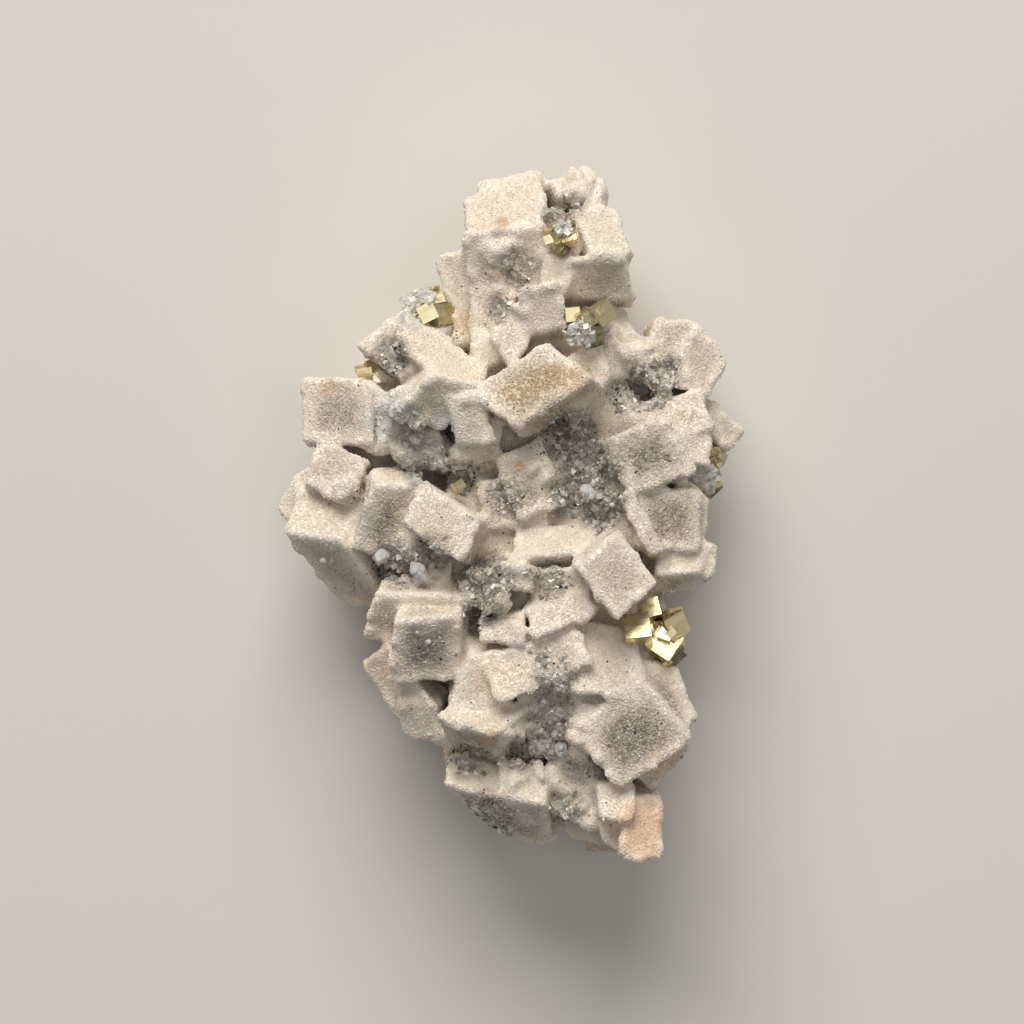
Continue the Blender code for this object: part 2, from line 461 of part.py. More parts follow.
def quartz_crystal(name, crystal, grow=0.0):
    """A short six-sided prism with a point at both ends, pushed out by grow for its socket."""
    radius = crystal.radius + grow / math.cos(math.pi / 6)
    half = crystal.prism / 2 + grow
    peak = half + radius * POINT
    turn = turned(crystal.turn)
    bm = bmesh.new()

    def place(x, y, z):
        return bm.verts.new((Vector(crystal.centre) + turn @ Vector((x, y, z))) * MM)

    corners = [(radius * math.cos(k * math.pi / 3), radius * math.sin(k * math.pi / 3)) for k in range(6)]
    low = [place(x, y, -half) for x, y in corners]
    high = [place(x, y, half) for x, y in corners]
    foot, tip = place(0, 0, -peak), place(0, 0, peak)
    for k in range(6):
        n = (k + 1) % 6
        bm.faces.new((low[k], low[n], high[n], high[k]))
        bm.faces.new((foot, low[n], low[k]))
        bm.faces.new((tip, high[k], high[n]))
    return new_object(name, bm)


def make_material(name, colour, roughness, metallic=0.0, transmission=0.0):
    material = bpy.data.materials.new(name)
    material.use_nodes = True
    shader = material.node_tree.nodes["Principled BSDF"]
    shader.inputs["Base Color"].default_value = (*colour, 1.0)
    shader.inputs["Roughness"].default_value = roughness
    shader.inputs["Metallic"].default_value = metallic
    shader.inputs["Transmission Weight"].default_value = transmission
    material.diffuse_color = (*colour, 1.0)
    return material


def set_material(piece, material):
    piece.data.materials.clear()
    piece.data.materials.append(material)


def make_dolomite():
    """The whole intergrown mass of dolomite, cut flat at the back, with a socket for each pyrite and quartz."""
    rng = random.Random(SEED)
    body = make_bed(rng)
    body.name = "dolomite_cluster"
    combine(body, [make_hump(rng)] + grown_crystals() + side_crystals(rng), "UNION")
    combine(body, druse_crystals(body, rng), "UNION")
    cutters = [pyrite_group(f"socket_{name}", cubes, GAP) for name, cubes in PYRITE.items()]
    cutters += [quartz_crystal(f"socket_{name}", crystal, GAP) for name, crystal in QUARTZ.items()]
    combine(body, cutters + [below_back()], "DIFFERENCE")
    keep_outer_shell(body)
    return body


def centre_on_origin(pieces):
    """Moves all the meshes together, so that the origin is the middle of the outline."""
    points = [vertex.co for piece in pieces for vertex in piece.data.vertices]
    xs, ys = [p.x for p in points], [p.y for p in points]
    middle = Vector(((min(xs) + max(xs)) / 2, (min(ys) + max(ys)) / 2, 0))
    for piece in pieces:
        piece.data.transform(Matrix.Translation(-middle))


def main():
    for obj in list(bpy.data.objects):
        bpy.data.objects.remove(obj)
    dolomite = make_material("dolomite", (0.78, 0.70, 0.62), 0.55)
    pyrite = make_material("pyrite", (0.62, 0.52, 0.30), 0.25, metallic=1.0)
    quartz = make_material("quartz", (0.85, 0.87, 0.88), 0.12, transmission=0.6)
    pieces = [make_dolomite()]
    set_material(pieces[0], dolomite)
    for name, cubes in PYRITE.items():
        pieces.append(pyrite_group(name, cubes))
        set_material(pieces[-1], pyrite)
    for name, crystal in QUARTZ.items():
        pieces.append(quartz_crystal(name, crystal))
        set_material(pieces[-1], quartz)
    centre_on_origin(pieces)


main()
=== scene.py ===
"""Looks of a dolomite specimen that lies on its flat back: frosted rhombs, pyrite cubes and quartz.

Places and sizes in the tables are millimetres, in the frame of the solids: +Z up from the flat back,
+Y towards the crown and +X to the right seen from above. They become metres where a mesh is made.
"""

import math
from collections import namedtuple

import bmesh
import bpy
import numpy as np
from mathutils import Matrix, Vector, noise
from mathutils.bvhtree import BVHTree
from mathutils.kdtree import KDTree


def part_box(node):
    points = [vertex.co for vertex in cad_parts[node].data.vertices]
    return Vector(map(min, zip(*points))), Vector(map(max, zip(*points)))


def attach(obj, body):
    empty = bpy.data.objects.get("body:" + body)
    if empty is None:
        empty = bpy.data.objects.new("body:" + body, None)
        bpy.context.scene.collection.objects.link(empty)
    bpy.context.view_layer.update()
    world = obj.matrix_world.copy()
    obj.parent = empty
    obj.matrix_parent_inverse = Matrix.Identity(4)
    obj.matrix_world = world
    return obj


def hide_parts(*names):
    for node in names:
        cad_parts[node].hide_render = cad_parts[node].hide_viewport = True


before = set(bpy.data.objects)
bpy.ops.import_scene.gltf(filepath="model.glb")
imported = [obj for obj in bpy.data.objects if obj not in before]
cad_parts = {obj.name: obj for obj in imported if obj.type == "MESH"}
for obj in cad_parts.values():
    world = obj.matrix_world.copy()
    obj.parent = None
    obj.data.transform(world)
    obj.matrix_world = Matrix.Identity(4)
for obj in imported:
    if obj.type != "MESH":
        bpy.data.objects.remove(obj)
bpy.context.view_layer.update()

MM = 0.001
SEED = 47

# Sockets of the Mix node for colours, by number, because it has several of the same name
SHARE, FIRST, SECOND = 0, 6, 7
MIXED = 2

# Inputs of the Math node that multiplies and adds, by number for the same reason
FACTOR, WEIGHT, ADDEND = 0, 1, 2

# Camera: straight above, far enough for the slight perspective of a close photograph
LENS_MM = 200
SENSOR_MM = 36
CAMERA_HEIGHT = 878.0
AIM = (0.0, -0.15)

# Surface of the body. Lengths are millimetres, and a pair is where something begins and where it is full.
VOXEL = 0.42
WELD = 0.001  # corners nearer to each other than this are one
CRISP_TURNS = 2  # each turn rounds the edges by about a tenth of a millimetre
SOFT_TURNS = 4
BROAD_TURNS = 40  # so many leave only the broad form
RELAX = 0.5  # how far a turn moves a place towards the mean of its neighbours
EDGE_STEP = 0.4
SHARP_EDGE = math.radians(25)
SHORTEST_EDGE = 1.8
LOWEST_EDGE = 1.0
RIM_REACH = 1.1
RIM_LIFT = 0.10
INNER = (0.7, 3.6)  # away from a crystal's edges, where the middle of its face begins
FACE_DEPTH = 0.12
SWELL = 0.10
FRONT = (9.0, 18.0)  # the zones of the front fade out on the sides, between these heights
FACES_UP = (-0.35, 0.1)
STANDS_OUT = (0.5, 1.6)
LIES_DEEP = (0.2, 0.8)
FACES_CROWN = (0.05, 0.5)
FACES_TOE = (0.25, 0.65)
# Grey painted over the cream. It is partly the grey of the small crystals and partly painted shade: on faces
# turned from the key lamp above the crown, most on those that face the toe, and in deep seams
PLAIN_GREY_AND_SHADE = 0.30
UNDER_GREY_AND_SHADE = 0.95
SEAM_GREY_AND_SHADE = 0.6
BODY_TRIANGLES = 190000
PLAIN_LEVELS = 8
PLAIN_FACTOR = 0.5

# Noise that frays the borders of the zones: size and height, in millimetres
RAGGED = [(2.2, 1.3), (0.8, 0.7)]

# Lumps in the skin of small crystals: size across and height, in millimetres
LUMPS = [(6.0, 0.10), (2.2, 0.08), (1.0, 0.06)]

# Patches of plainer skin, and the tone of the skin under the grains
PATCH_SIZE = 5.0
TONE_SIZE = 1.0
RAGGED_SEED, PATCH_SEED, LUMP_SEED, TONE_SEED = 1, 3, 5, 9

# Small crystals that grew along the edges of the big ones and make them ragged
EDGE_CRYSTAL_SPACING = 3.2
EDGE_CRYSTAL_LENGTH = (0.7, 1.9)
EDGE_CRYSTAL_WIDTH = (0.5, 1.15)
EDGE_CRYSTAL_PLACE = (0.12, 0.88)  # along the edge, whose length is 1
EDGE_CRYSTAL_SINK = 0.26  # how deep its middle lies, as a share of its thickness
EDGE_CRYSTAL_SHIFT = 0.5
EDGE_CRYSTAL_SKEW = 0.2

# Grains: how many there are for each mm2 out of sight and in sight, their edges, and the lowest ones
GRAINS_HIDDEN = 2.6
GRAINS_SEEN = 14.0
GRAINS_LOWEST = 1.0
GRAIN_EDGE = (0.21, 0.36)
DRUSE_DENSITY = 2.8
DRUSE_LOWEST = 2.2
DRUSE_EDGE = (0.36, 0.90)
DRUSE_TILT = 0.6
FROST_EDGE = (0.40, 1.00)
FROST_TILT = 0.5
GRAIN_PROUD = 0.36  # how far the tip of a rhomb's corner stands out, as a share of its edge
WHOLE_PROUD = 0.5  # the same for a whole rhomb
STRAY_SPECKS = 0.0015  # share of the grains that are dark anywhere
VEIL_SPECKS = 0.010  # and how many more where the skin is greyest
ABOVE_ALL = 60.0  # a height above every piece, to look down from
BAND_BORDERS = (-26.0, -4.0, 16.0)
BANDS = ("foot", "waist", "middle", "crown")

# Growth steps on pyrite faces
GROOVE_STEP = 0.42
GROOVE_DEPTH = 0.045
GROOVE_SLOPE = 0.04

# Small cubes on each pyrite cube: how many, their edge and distance as shares of its edge, how far they lean
# and how many degrees they are spun
SMALL_CUBES = 2
SMALL_CUBE_EDGE = (0.22, 0.48)
SMALL_CUBE_AWAY = 0.52
SMALL_CUBE_LEAN = 0.12
SMALL_CUBE_SPIN = 10

# Small quartz crystals about each large one: how many, their share of its size, and their distance
SMALL_QUARTZ = 4
SMALL_QUARTZ_SIZE = (0.3, 0.5)
SMALL_QUARTZ_AWAY = 1.0
QUARTZ_WEAR = 0.09

# Sizes of the patterns in the materials, in millimetres
CLOUD_SIZE = 4.0
MASSIVE_SIZE = 9.0
SUGAR_SIZE = 0.38
TARNISH_SIZE = 1.1
SCRATCH_SIZE = 0.25
MILK_SIZE = 0.9

# Lamps: name, the way towards it, its distance and size in metres, its power in watts and its colour.
# The key lamp stands above the crown.
LAMPS = [
    ("key", (-0.12, 0.77, 0.63), 1.5, 1.2, 25.5, "#FFF9F0"),
    ("overhead", (0.1, -0.2, 1.0), 1.2, 1.0, 3.0, "#FBF9F6"),
    ("right_card", (1.0, 0.1, 0.5), 1.2, 1.0, 1.0, "#FFF8EE"),
    ("left_card", (-1.0, -0.3, 0.5), 1.2, 1.0, 0.6, "#F6F8FF"),
]
ROOM_COLOUR = "#E8E8EA"
ROOM_LIGHT = 0.10

# A pyrite face that faces this way shows the overhead lamp when it is seen from above
BRIGHT = (0.05, -0.10, 0.99)

# Hollows between the crystals, with coarse grains: name, middle x, y, radius, depth and greyness
HOLLOWS = [
    ("crown_front_lumps", 0.8, 36.4, 3.4, 0.2, 0.7),
    ("crown_tip", 8.8, 45.6, 2.4, 0.2, 0.6),
    ("crown_saddle", 6.8, 43.2, 2.6, 0.6, 1.0),
    ("throat_left", -1.8, 30.2, 2.4, 0.7, 1.0),
    ("throat_right", 11.5, 28.0, 3.4, 0.4, 1.0),
    ("wing_hollow", -18.0, 23.3, 3.2, 1.1, 1.0),
    ("shoulder_hollow", 20.7, 18.9, 5.0, 0.5, 0.6),
    ("shoulder_pit", 23.0, 21.6, 2.6, 0.8, 0.7),
    ("shoulder_inner", 16.6, 17.6, 2.6, 0.8, 0.7),
    ("brow_underside", -15.3, 12.4, 3.4, 0.5, 1.0),
    ("grainy_hollow", -13.0, 7.4, 4.2, 1.1, 1.0),
    ("seam_hollow", -7.8, 5.0, 2.8, 1.2, 1.0),
    ("heart", -0.8, 2.6, 3.4, 0.2, 0.8),
    ("centre_hollow_neck", 7.2, 12.9, 3.2, 1.2, 1.0),
    ("centre_hollow_upper", 9.5, 10.7, 4.6, 1.4, 1.0),
    ("centre_hollow", 11.7, 6.2, 5.2, 1.6, 1.0),
    ("centre_hollow_left", 9.0, 2.2, 4.0, 1.3, 1.0),
    ("centre_hollow_lower", 13.4, 0.7, 4.2, 1.2, 1.0),
    ("left_prism_foot", -17.5, -8.1, 3.8, 1.1, 1.0),
    ("left_tile_foot", -12.3, -6.3, 3.4, 1.0, 1.0),
    ("middle_hollow", -4.0, -10.4, 4.4, 0.9, 1.0),
    ("middle_hollow_left", -4.8, -15.2, 3.0, 0.8, 1.0),
    ("centre_slope", 5.4, -10.6, 3.6, 0.5, 0.7),
    ("belt_slope", 6.0, -23.8, 4.2, 0.3, 0.6),
    ("belt_hollow", 5.6, -29.6, 4.2, 0.3, 0.55),
    ("belt_hollow_foot", 5.6, -34.6, 3.6, 0.7, 0.6),
    ("toe_grains_upper", 9.8, -38.6, 2.6, 0.6, 0.5),
    ("toe_grains", 7.6, -44.4, 3.2, 0.4, 0.4),
    ("foot_gap", 1.2, -36.4, 3.2, 0.6, 0.7),
    ("foot_gap_left", -6.6, -37.2, 3.4, 0.5, 0.6),
    ("foot_left_grains", -3.6, -46.6, 5.4, 0.2, 0.8),
]

# Columns of that table
HOLLOW_DEPTH, HOLLOW_GREYNESS = 4, 5

# Greyish middles of crystal faces inside their cream rims: name, middle x, y, radius and strength
FACES = [
    ("crown_front", -1.8, 34.6, 5.0, 0.75),
    ("shoulder_face", 23.5, 24.9, 4.8, 0.55),
    ("flank_broad", 19.6, 6.6, 8.6, 1.00),
    ("flank_lower", 24.0, -1.4, 6.4, 1.00),
    ("left_prism", -19.3, -1.4, 5.4, 1.00),
    ("heart", -1.0, 2.4, 5.6, 1.00),
    ("centre_tile", 15.0, -8.9, 4.6, 0.40),
    ("waist_face", -12.6, -19.8, 5.6, 1.00),
    ("foot_broad", 19.8, -33.0, 9.0, 1.00),
    ("ear_face", -25.6, 13.7, 5.0, 0.70),
    ("ear_lower", -25.6, 7.0, 4.0, 0.50),
    ("elbow", 28.2, 12.9, 3.6, 0.50),
    ("cheek", -27.0, -7.0, 5.0, 0.45),
    ("leaning_tile", 3.6, 16.8, 5.4, 0.75),
]

# Bluish, clearer grains
BLUISH = [
    ("left_vein", -18.6, 14.0, 4.0, 0.80),
    ("collar", -9.5, 11.5, 3.4, 0.60),
    ("grainy_hollow", -13.5, 8.0, 4.0, 0.50),
    ("wing_upper", -14.5, 29.5, 3.0, 0.60),
]

# Iron stains
RUST = [
    ("leaning_tile", 9.6, 19.4, 2.6, 0.50),
    ("leaning_tile_streak", 6.6, 20.4, 1.6, 0.40),
    ("ear_stain", -27.4, 18.8, 1.5, 0.50),
    ("left_slab_stain", -7.4, 28.2, 2.2, 0.35),
    ("crown_top_spot", -1.4, 43.2, 1.2, 0.55),
    ("heart_pit", 1.3, 6.7, 0.9, 0.70),
    ("foot_corner", -3.3, -33.6, 1.6, 0.55),
    ("crown_pyrite_glow", 7.5, 41.0, 3.0, 0.50),
]

# Pinkish crystals; on the toe and along the lower edges this pink is also painted reddish light from the
# surroundings
PINK_AND_RED_LIGHT = [
    ("toe", 19.5, -47.0, 5.5, 0.80),
    ("foot_broad_edge", 24.5, -39.0, 4.0, 0.50),
    ("belt", -3.0, -24.5, 4.0, 0.30),
    ("waist_edge", -20.5, -22.0, 4.0, 0.35),
]

# Warm, tan, more transparent dolomite
TAN = [
    ("leaning_tile", 3.0, 17.0, 6.4, 1.00),
    ("foot_tile_edge", -3.5, -33.0, 3.0, 0.40),
]

# Zones that colour the dolomite, one over the other, each with the colour that it turns to
STAINS = [
    ("bluish", "#D2D2CB"),
    ("tan", "#BFA88A"),
    # pink crystals, and painted reddish light on the toe and the lower edges
    ("pink_and_red_light", "#F4D3B6"),
    ("rust", "#C39A6B"),
    ("speck", "#352C25"),
]

# Dark specks of bitumen between the grains: name, middle x, y, radius and share of the grains
PITS = [
    ("hollow_left", 5.6, 9.8, 2.6, 0.22),
    ("hollow_neck", 7.9, 13.2, 1.6, 0.22),
    ("shoulder_rim", 16.2, 17.0, 2.2, 0.18),
    ("shoulder_floor", 21.0, 18.0, 3.4, 0.05),
    ("seam", -7.0, 4.4, 2.2, 0.22),
    ("wing_hollow", -17.6, 23.0, 2.6, 0.07),
    ("left_slab", -8.6, 26.4, 1.2, 0.18),
    ("prism_border", -22.8, 2.4, 1.2, 0.22),
    ("cheek_foot", -20.2, -8.6, 2.0, 0.22),
    ("foot_gap", 1.0, -36.2, 1.8, 0.22),
    ("centre_crack", 7.0, -11.4, 1.6, 0.18),
    ("foot_left_underside", -4.0, -46.4, 4.4, 0.07),
    ("belt", 5.0, -25.0, 4.0, 0.02),
]

# A pyrite cube: its centre, edge, the way that its broad face looks, and its spin about that in degrees
Cube = namedtuple("Cube", "centre edge facing spin")
PYRITE = {
    "pyrite_crown": [
        Cube((5.4, 40.5, 31.0), 1.3, BRIGHT, 20),
        Cube((6.6, 41.4, 30.4), 2.4, (0.40, -0.10, 0.90), 30),
        Cube((8.3, 40.7, 30.8), 2.1, (-0.35, 0.30, 0.88), 10),
        Cube((7.4, 39.4, 30.7), 1.9, (0.15, -0.50, 0.85), 50),
        Cube((8.5, 42.3, 30.0), 1.6, (0.30, 0.55, 0.78), 0),
    ],
    "pyrite_throat": [
        Cube((9.0, 29.3, 31.6), 2.1, BRIGHT, 5),
        Cube((10.9, 28.6, 31.7), 2.6, (0.28, -0.12, 0.95), 32),
        Cube((13.2, 29.3, 30.6), 3.2, (0.40, 0.10, 0.91), 35),
        Cube((11.6, 26.2, 31.3), 3.0, (0.35, -0.30, 0.89), 10),
        Cube((9.6, 26.4, 31.3), 2.4, (-0.20, -0.20, 0.96), 20),
    ],
    "pyrite_left_shoulder": [
        Cube((-12.7, 29.8, 26.0), 2.6, BRIGHT, 26),
        Cube((-14.9, 31.2, 21.6), 2.6, (-0.30, 0.45, 0.84), 15),
        Cube((-12.1, 31.6, 21.8), 3.1, (0.20, 0.55, 0.81), 20),
        Cube((-10.7, 29.4, 22.0), 3.2, (0.45, 0.15, 0.88), 12),
        Cube((-13.6, 30.4, 23.0), 3.0, (-0.15, 0.20, 0.97), 40),
    ],
    "pyrite_left_edge": [
        Cube((-22.2, 20.8, 20.0), 2.2, (0.05, -0.25, 0.97), 8),
        Cube((-21.2, 21.8, 19.4), 1.8, (0.30, 0.35, 0.88), 30),
    ],
    "pyrite_right": [
        Cube((29.0, 6.2, 21.0), 3.2, (0.35, -0.15, 0.92), 25),
        Cube((30.0, 7.9, 19.6), 2.6, (0.30, 0.40, 0.86), 15),
        Cube((29.7, 4.0, 19.4), 2.6, (0.45, -0.35, 0.82), 35),
        Cube((28.0, 4.8, 21.4), 2.6, (-0.20, -0.10, 0.97), 5),
    ],
    "pyrite_flank": [
        Cube((18.7, -17.6, 32.4), 3.8, (-0.08, 0.34, 0.94), 6),
        Cube((22.8, -20.0, 29.4), 4.2, (-0.05, 0.24, 0.97), -34),
        Cube((23.8, -17.2, 29.8), 3.6, (0.48, 0.02, 0.88), 28),
        Cube((20.6, -14.8, 30.6), 2.8, (-0.04, 0.30, 0.95), 14),
        Cube((23.4, -21.0, 28.8), 3.2, (0.30, -0.40, 0.86), 40),
        Cube((24.0, -16.0, 28.4), 2.6, (0.55, 0.25, 0.79), 20),
    ],
    "pyrite_seam": [
        Cube((-8.0, 3.8, 29.6), 1.5, (0.40, 0.10, 0.91), 35),
    ],
}

# Grey frost of small crystals on the pyrite: middle x, y, radius and number of crystals
FROST = [
    ("throat_lower", 9.6, 26.0, 2.4, 110),
    ("left_shoulder_side", -15.2, 31.2, 1.5, 60),
    ("left_shoulder_top", -12.8, 32.2, 1.1, 30),
    ("crown", 7.6, 42.4, 1.2, 30),
    ("right", 28.4, 4.8, 2.4, 70),
]

# Clear droplets on the surface: x, y and radius
DROPLETS = [
    (11.4, 2.9, 0.62), (12.1, 4.0, 0.50), (15.0, 0.9, 0.50), (8.6, 10.1, 0.42), (10.4, 9.0, 0.36),
    (-28.3, -7.4, 0.60), (-12.4, -19.4, 0.50), (-14.0, -18.0, 0.36), (7.4, -35.4, 0.60), (8.4, -36.6, 0.46),
    (-12.4, -33.4, 0.44), (-7.2, -9.2, 0.40), (19.8, 18.4, 0.36), (-9.8, 7.6, 0.44), (14.6, 6.2, 0.34),
]


def linear(hex_colour):
    """A hex sRGB colour as the linear values that a shader takes."""
    def channel(text):
        value = int(text, 16) / 255
        return value / 12.92 if value <= 0.04045 else ((value + 0.055) / 1.055) ** 2.4
    return (*(channel(hex_colour[k:k + 2]) for k in (1, 3, 5)), 1.0)


def add(tree, kind, values=None, **settings):
    """Adds a node with its settings, and sets or links its inputs from values, by name or number."""
    made = tree.nodes.new(kind)
    for key, value in settings.items():
        setattr(made, key, value)
    for key, value in (values or {}).items():
        if isinstance(value, bpy.types.NodeSocket):
            tree.links.new(value, made.inputs[key])
        else:
            made.inputs[key].default_value = value
    return made


def new_material(name):
    material = bpy.data.materials.new(name)
    material.use_nodes = True
    material.node_tree.nodes.clear()
    return material, material.node_tree


def scale_for(size_mm):
    """The texture scale in which one feature is size_mm across, for coordinates in metres."""
    return 1.0 / (size_mm * MM)


def dolomite_colour(tree, place):
    """Cream, paler on the rims and greyer where grey crystals lie and where shade is painted, with stains;
    each grain has a tone of its own.
    """
    names = ["tone", "rim", "grey_veil_and_shade", *(name for name, _ in STAINS)]
    zone = {name: add(tree, "ShaderNodeAttribute", attribute_name=name).outputs["Fac"] for name in names}
    cloud = add(tree, "ShaderNodeTexNoise", {"Vector": place, "Scale": scale_for(CLOUD_SIZE), "Detail": 4.0})
    share = 0.0
    for value, weight in ((zone["tone"], 0.48), (cloud.outputs["Fac"], 0.30), (zone["rim"], 0.35)):
        terms = {FACTOR: value, WEIGHT: weight, ADDEND: share}
        share = add(tree, "ShaderNodeMath", terms, operation="MULTIPLY_ADD").outputs["Value"]
    cream = {SHARE: share, FIRST: linear("#DBC9B2"), SECOND: linear("#FFF7EA")}
    # Grey for the grey crystals, and for the painted shade on faces turned from the key lamp and in deep
    # seams
    grey = {SHARE: zone["tone"], FIRST: linear("#7B7166"), SECOND: linear("#C7BCAC")}
    layers = {
        SHARE: zone["grey_veil_and_shade"],
        FIRST: add(tree, "ShaderNodeMix", cream, data_type="RGBA").outputs[MIXED],
        SECOND: add(tree, "ShaderNodeMix", grey, data_type="RGBA").outputs[MIXED],
    }
    colour = add(tree, "ShaderNodeMix", layers, data_type="RGBA").outputs[MIXED]
    for name, stain in STAINS:
        layers = {SHARE: zone[name], FIRST: colour, SECOND: linear(stain)}
        colour = add(tree, "ShaderNodeMix", layers, data_type="RGBA").outputs[MIXED]
    return colour


def frosted_dolomite():
    """Dolomite, grown under a skin of its own small crystals: pearly on the edges and sugary all over."""
    material, tree = new_material("frosted_dolomite")
    place = add(tree, "ShaderNodeTexCoord").outputs["Object"]
    tone = add(tree, "ShaderNodeAttribute", attribute_name="tone").outputs["Fac"]
    cut = add(tree, "ShaderNodeAttribute", attribute_name="cut").outputs["Fac"]
    grown = dolomite_colour(tree, place)
    grain = {"Vector": place, "Scale": scale_for(MASSIVE_SIZE), "Detail": 6.0}
    patches = add(tree, "ShaderNodeTexNoise", grain)
    massive = {SHARE: patches.outputs["Fac"], FIRST: linear("#B9AD9E"), SECOND: linear("#EDE3D3")}
    layers = {
        SHARE: cut,
        FIRST: grown,
        SECOND: add(tree, "ShaderNodeMix", massive, data_type="RGBA").outputs[MIXED],
    }
    colour = add(tree, "ShaderNodeMix", layers, data_type="RGBA")
    sugar = add(tree, "ShaderNodeTexVoronoi", {"Vector": place, "Scale": scale_for(SUGAR_SIZE)})
    rough = add(tree, "ShaderNodeMapRange", {"Value": tone, "To Min": 0.50, "To Max": 0.24})
    relief = {"Height": sugar.outputs["Distance"], "Strength": 0.6, "Distance": 0.12 * MM}
    bump = add(tree, "ShaderNodeBump", relief)
    shader = add(tree, "ShaderNodeBsdfPrincipled", {
        "Base Color": colour.outputs[MIXED],
        "Roughness": rough.outputs["Result"],
        "IOR": 1.62,
        "Normal": bump.outputs["Normal"],
        "Subsurface Weight": 0.2,
        "Subsurface Radius": (1.0, 0.75, 0.5),
        "Subsurface Scale": 0.8 * MM,
    })
    add(tree, "ShaderNodeOutputMaterial", {"Surface": shader.outputs["BSDF"]})
    return material


def clear_dolomite():
    """Dolomite that grew free in the hollows: grey glassy rhombs, some nearly white, bluish or dark."""
    material, tree = new_material("clear_dolomite")
    tone = add(tree, "ShaderNodeAttribute", attribute_name="tone").outputs["Fac"]
    layers = {SHARE: tone, FIRST: linear("#90877B"), SECOND: linear("#F5F2EB")}
    colour = add(tree, "ShaderNodeMix", layers, data_type="RGBA")
    for name, stain in (("bluish", "#DADBD6"), ("speck", "#2C2622")):
        zone = add(tree, "ShaderNodeAttribute", attribute_name=name).outputs["Fac"]
        layers = {SHARE: zone, FIRST: colour.outputs[MIXED], SECOND: linear(stain)}
        colour = add(tree, "ShaderNodeMix", layers, data_type="RGBA")
    shader = add(tree, "ShaderNodeBsdfPrincipled", {
        "Base Color": colour.outputs[MIXED],
        "Roughness": 0.16,
        "IOR": 1.62,
        "Transmission Weight": 0.18,
    })
    add(tree, "ShaderNodeOutputMaterial", {"Surface": shader.outputs["BSDF"]})
    return material


def striated_pyrite():
    """Pyrite, grown in cubes by steps: pale brass-yellow metal, with each step a little lighter or darker."""
    material, tree = new_material("striated_pyrite")
    place = add(tree, "ShaderNodeTexCoord").outputs["Object"]
    stains = {"Vector": place, "Scale": scale_for(TARNISH_SIZE), "Detail": 3.0}
    tarnish = add(tree, "ShaderNodeTexNoise", stains)
    step_tone = add(tree, "ShaderNodeAttribute", attribute_name="tone").outputs["Fac"]
    share = 0.0
    for value in (tarnish.outputs["Fac"], step_tone):
        terms = {FACTOR: value, WEIGHT: 0.5, ADDEND: share}
        share = add(tree, "ShaderNodeMath", terms, operation="MULTIPLY_ADD").outputs["Value"]
    brass = {SHARE: share, FIRST: linear("#C9BC90"), SECOND: linear("#FFF2CB")}
    lines = {"Vector": place, "Scale": scale_for(SCRATCH_SIZE), "Detail": 2.0}
    scratch = add(tree, "ShaderNodeTexNoise", lines)
    polish = {
        "Value": tarnish.outputs["Fac"],
        "From Min": 0.3,
        "From Max": 0.7,
        "To Min": 0.18,
        "To Max": 0.40,
    }
    rough = add(tree, "ShaderNodeMapRange", polish)
    relief = {"Height": scratch.outputs["Fac"], "Strength": 0.12, "Distance": 0.05 * MM}
    bump = add(tree, "ShaderNodeBump", relief)
    shader = add(tree, "ShaderNodeBsdfPrincipled", {
        "Base Color": add(tree, "ShaderNodeMix", brass, data_type="RGBA").outputs[MIXED],
        "Metallic": 1.0,
        "Roughness": rough.outputs["Result"],
        "Normal": bump.outputs["Normal"],
    })
    add(tree, "ShaderNodeOutputMaterial", {"Surface": shader.outputs["BSDF"]})
    return material


def milky_quartz():
    """Quartz, cloudy with fine bubbles: glassy faces over a milky white inside."""
    material, tree = new_material("milky_quartz")
    place = add(tree, "ShaderNodeTexCoord").outputs["Object"]
    cloud = add(tree, "ShaderNodeTexNoise", {"Vector": place, "Scale": scale_for(MILK_SIZE), "Detail": 3.0})
    milk = {SHARE: cloud.outputs["Fac"], FIRST: linear("#C2C7C8"), SECOND: linear("#FAFAF6")}
    shader = add(tree, "ShaderNodeBsdfPrincipled", {
        "Base Color": add(tree, "ShaderNodeMix", milk, data_type="RGBA").outputs[MIXED],
        "Roughness": 0.15,
        "IOR": 1.54,
        "Transmission Weight": 0.25,
        "Subsurface Weight": 0.4,
        "Subsurface Radius": (1.0, 1.0, 1.0),
        "Subsurface Scale": 0.6 * MM,
    })
    add(tree, "ShaderNodeOutputMaterial", {"Surface": shader.outputs["BSDF"]})
    return material


def studio_paper():
    """Matte background paper, pale and even."""
    material, tree = new_material("studio_paper")
    shader = add(tree, "ShaderNodeBsdfPrincipled", {"Base Color": linear("#DAD8D4"), "Roughness": 0.9})
    add(tree, "ShaderNodeOutputMaterial", {"Surface": shader.outputs["BSDF"]})
    return material


def new_piece(name, mesh, material, slot, *replaced):
    """A piece of the specimen, which rides on its one body and stands for the CAD nodes that it replaces."""
    piece = bpy.data.objects.new(name, mesh)
    bpy.context.scene.collection.objects.link(piece)
    mesh.materials.clear()
    mesh.materials.append(material)
    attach(piece, "root")
    if replaced:
        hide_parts(*replaced)
    return piece


def remeshed(mesh, voxel):
    """The mesh as one even skin of small quads, with all that overlaps fused."""
    source = bpy.data.objects.new("source", mesh)
    bpy.context.scene.collection.objects.link(source)
    modifier = source.modifiers.new("skin", "REMESH")
    modifier.mode = "VOXEL"
    modifier.voxel_size = voxel * MM
    bpy.context.view_layer.update()
    graph = bpy.context.evaluated_depsgraph_get()
    skin = bpy.data.meshes.new_from_object(source.evaluated_get(graph))
    bpy.data.objects.remove(source)
    return skin


def vertex_places(mesh):
    """The vertices' places in millimetres."""
    flat = np.empty(len(mesh.vertices) * 3)
    mesh.vertices.foreach_get("co", flat)
    return flat.reshape(-1, 3) / MM


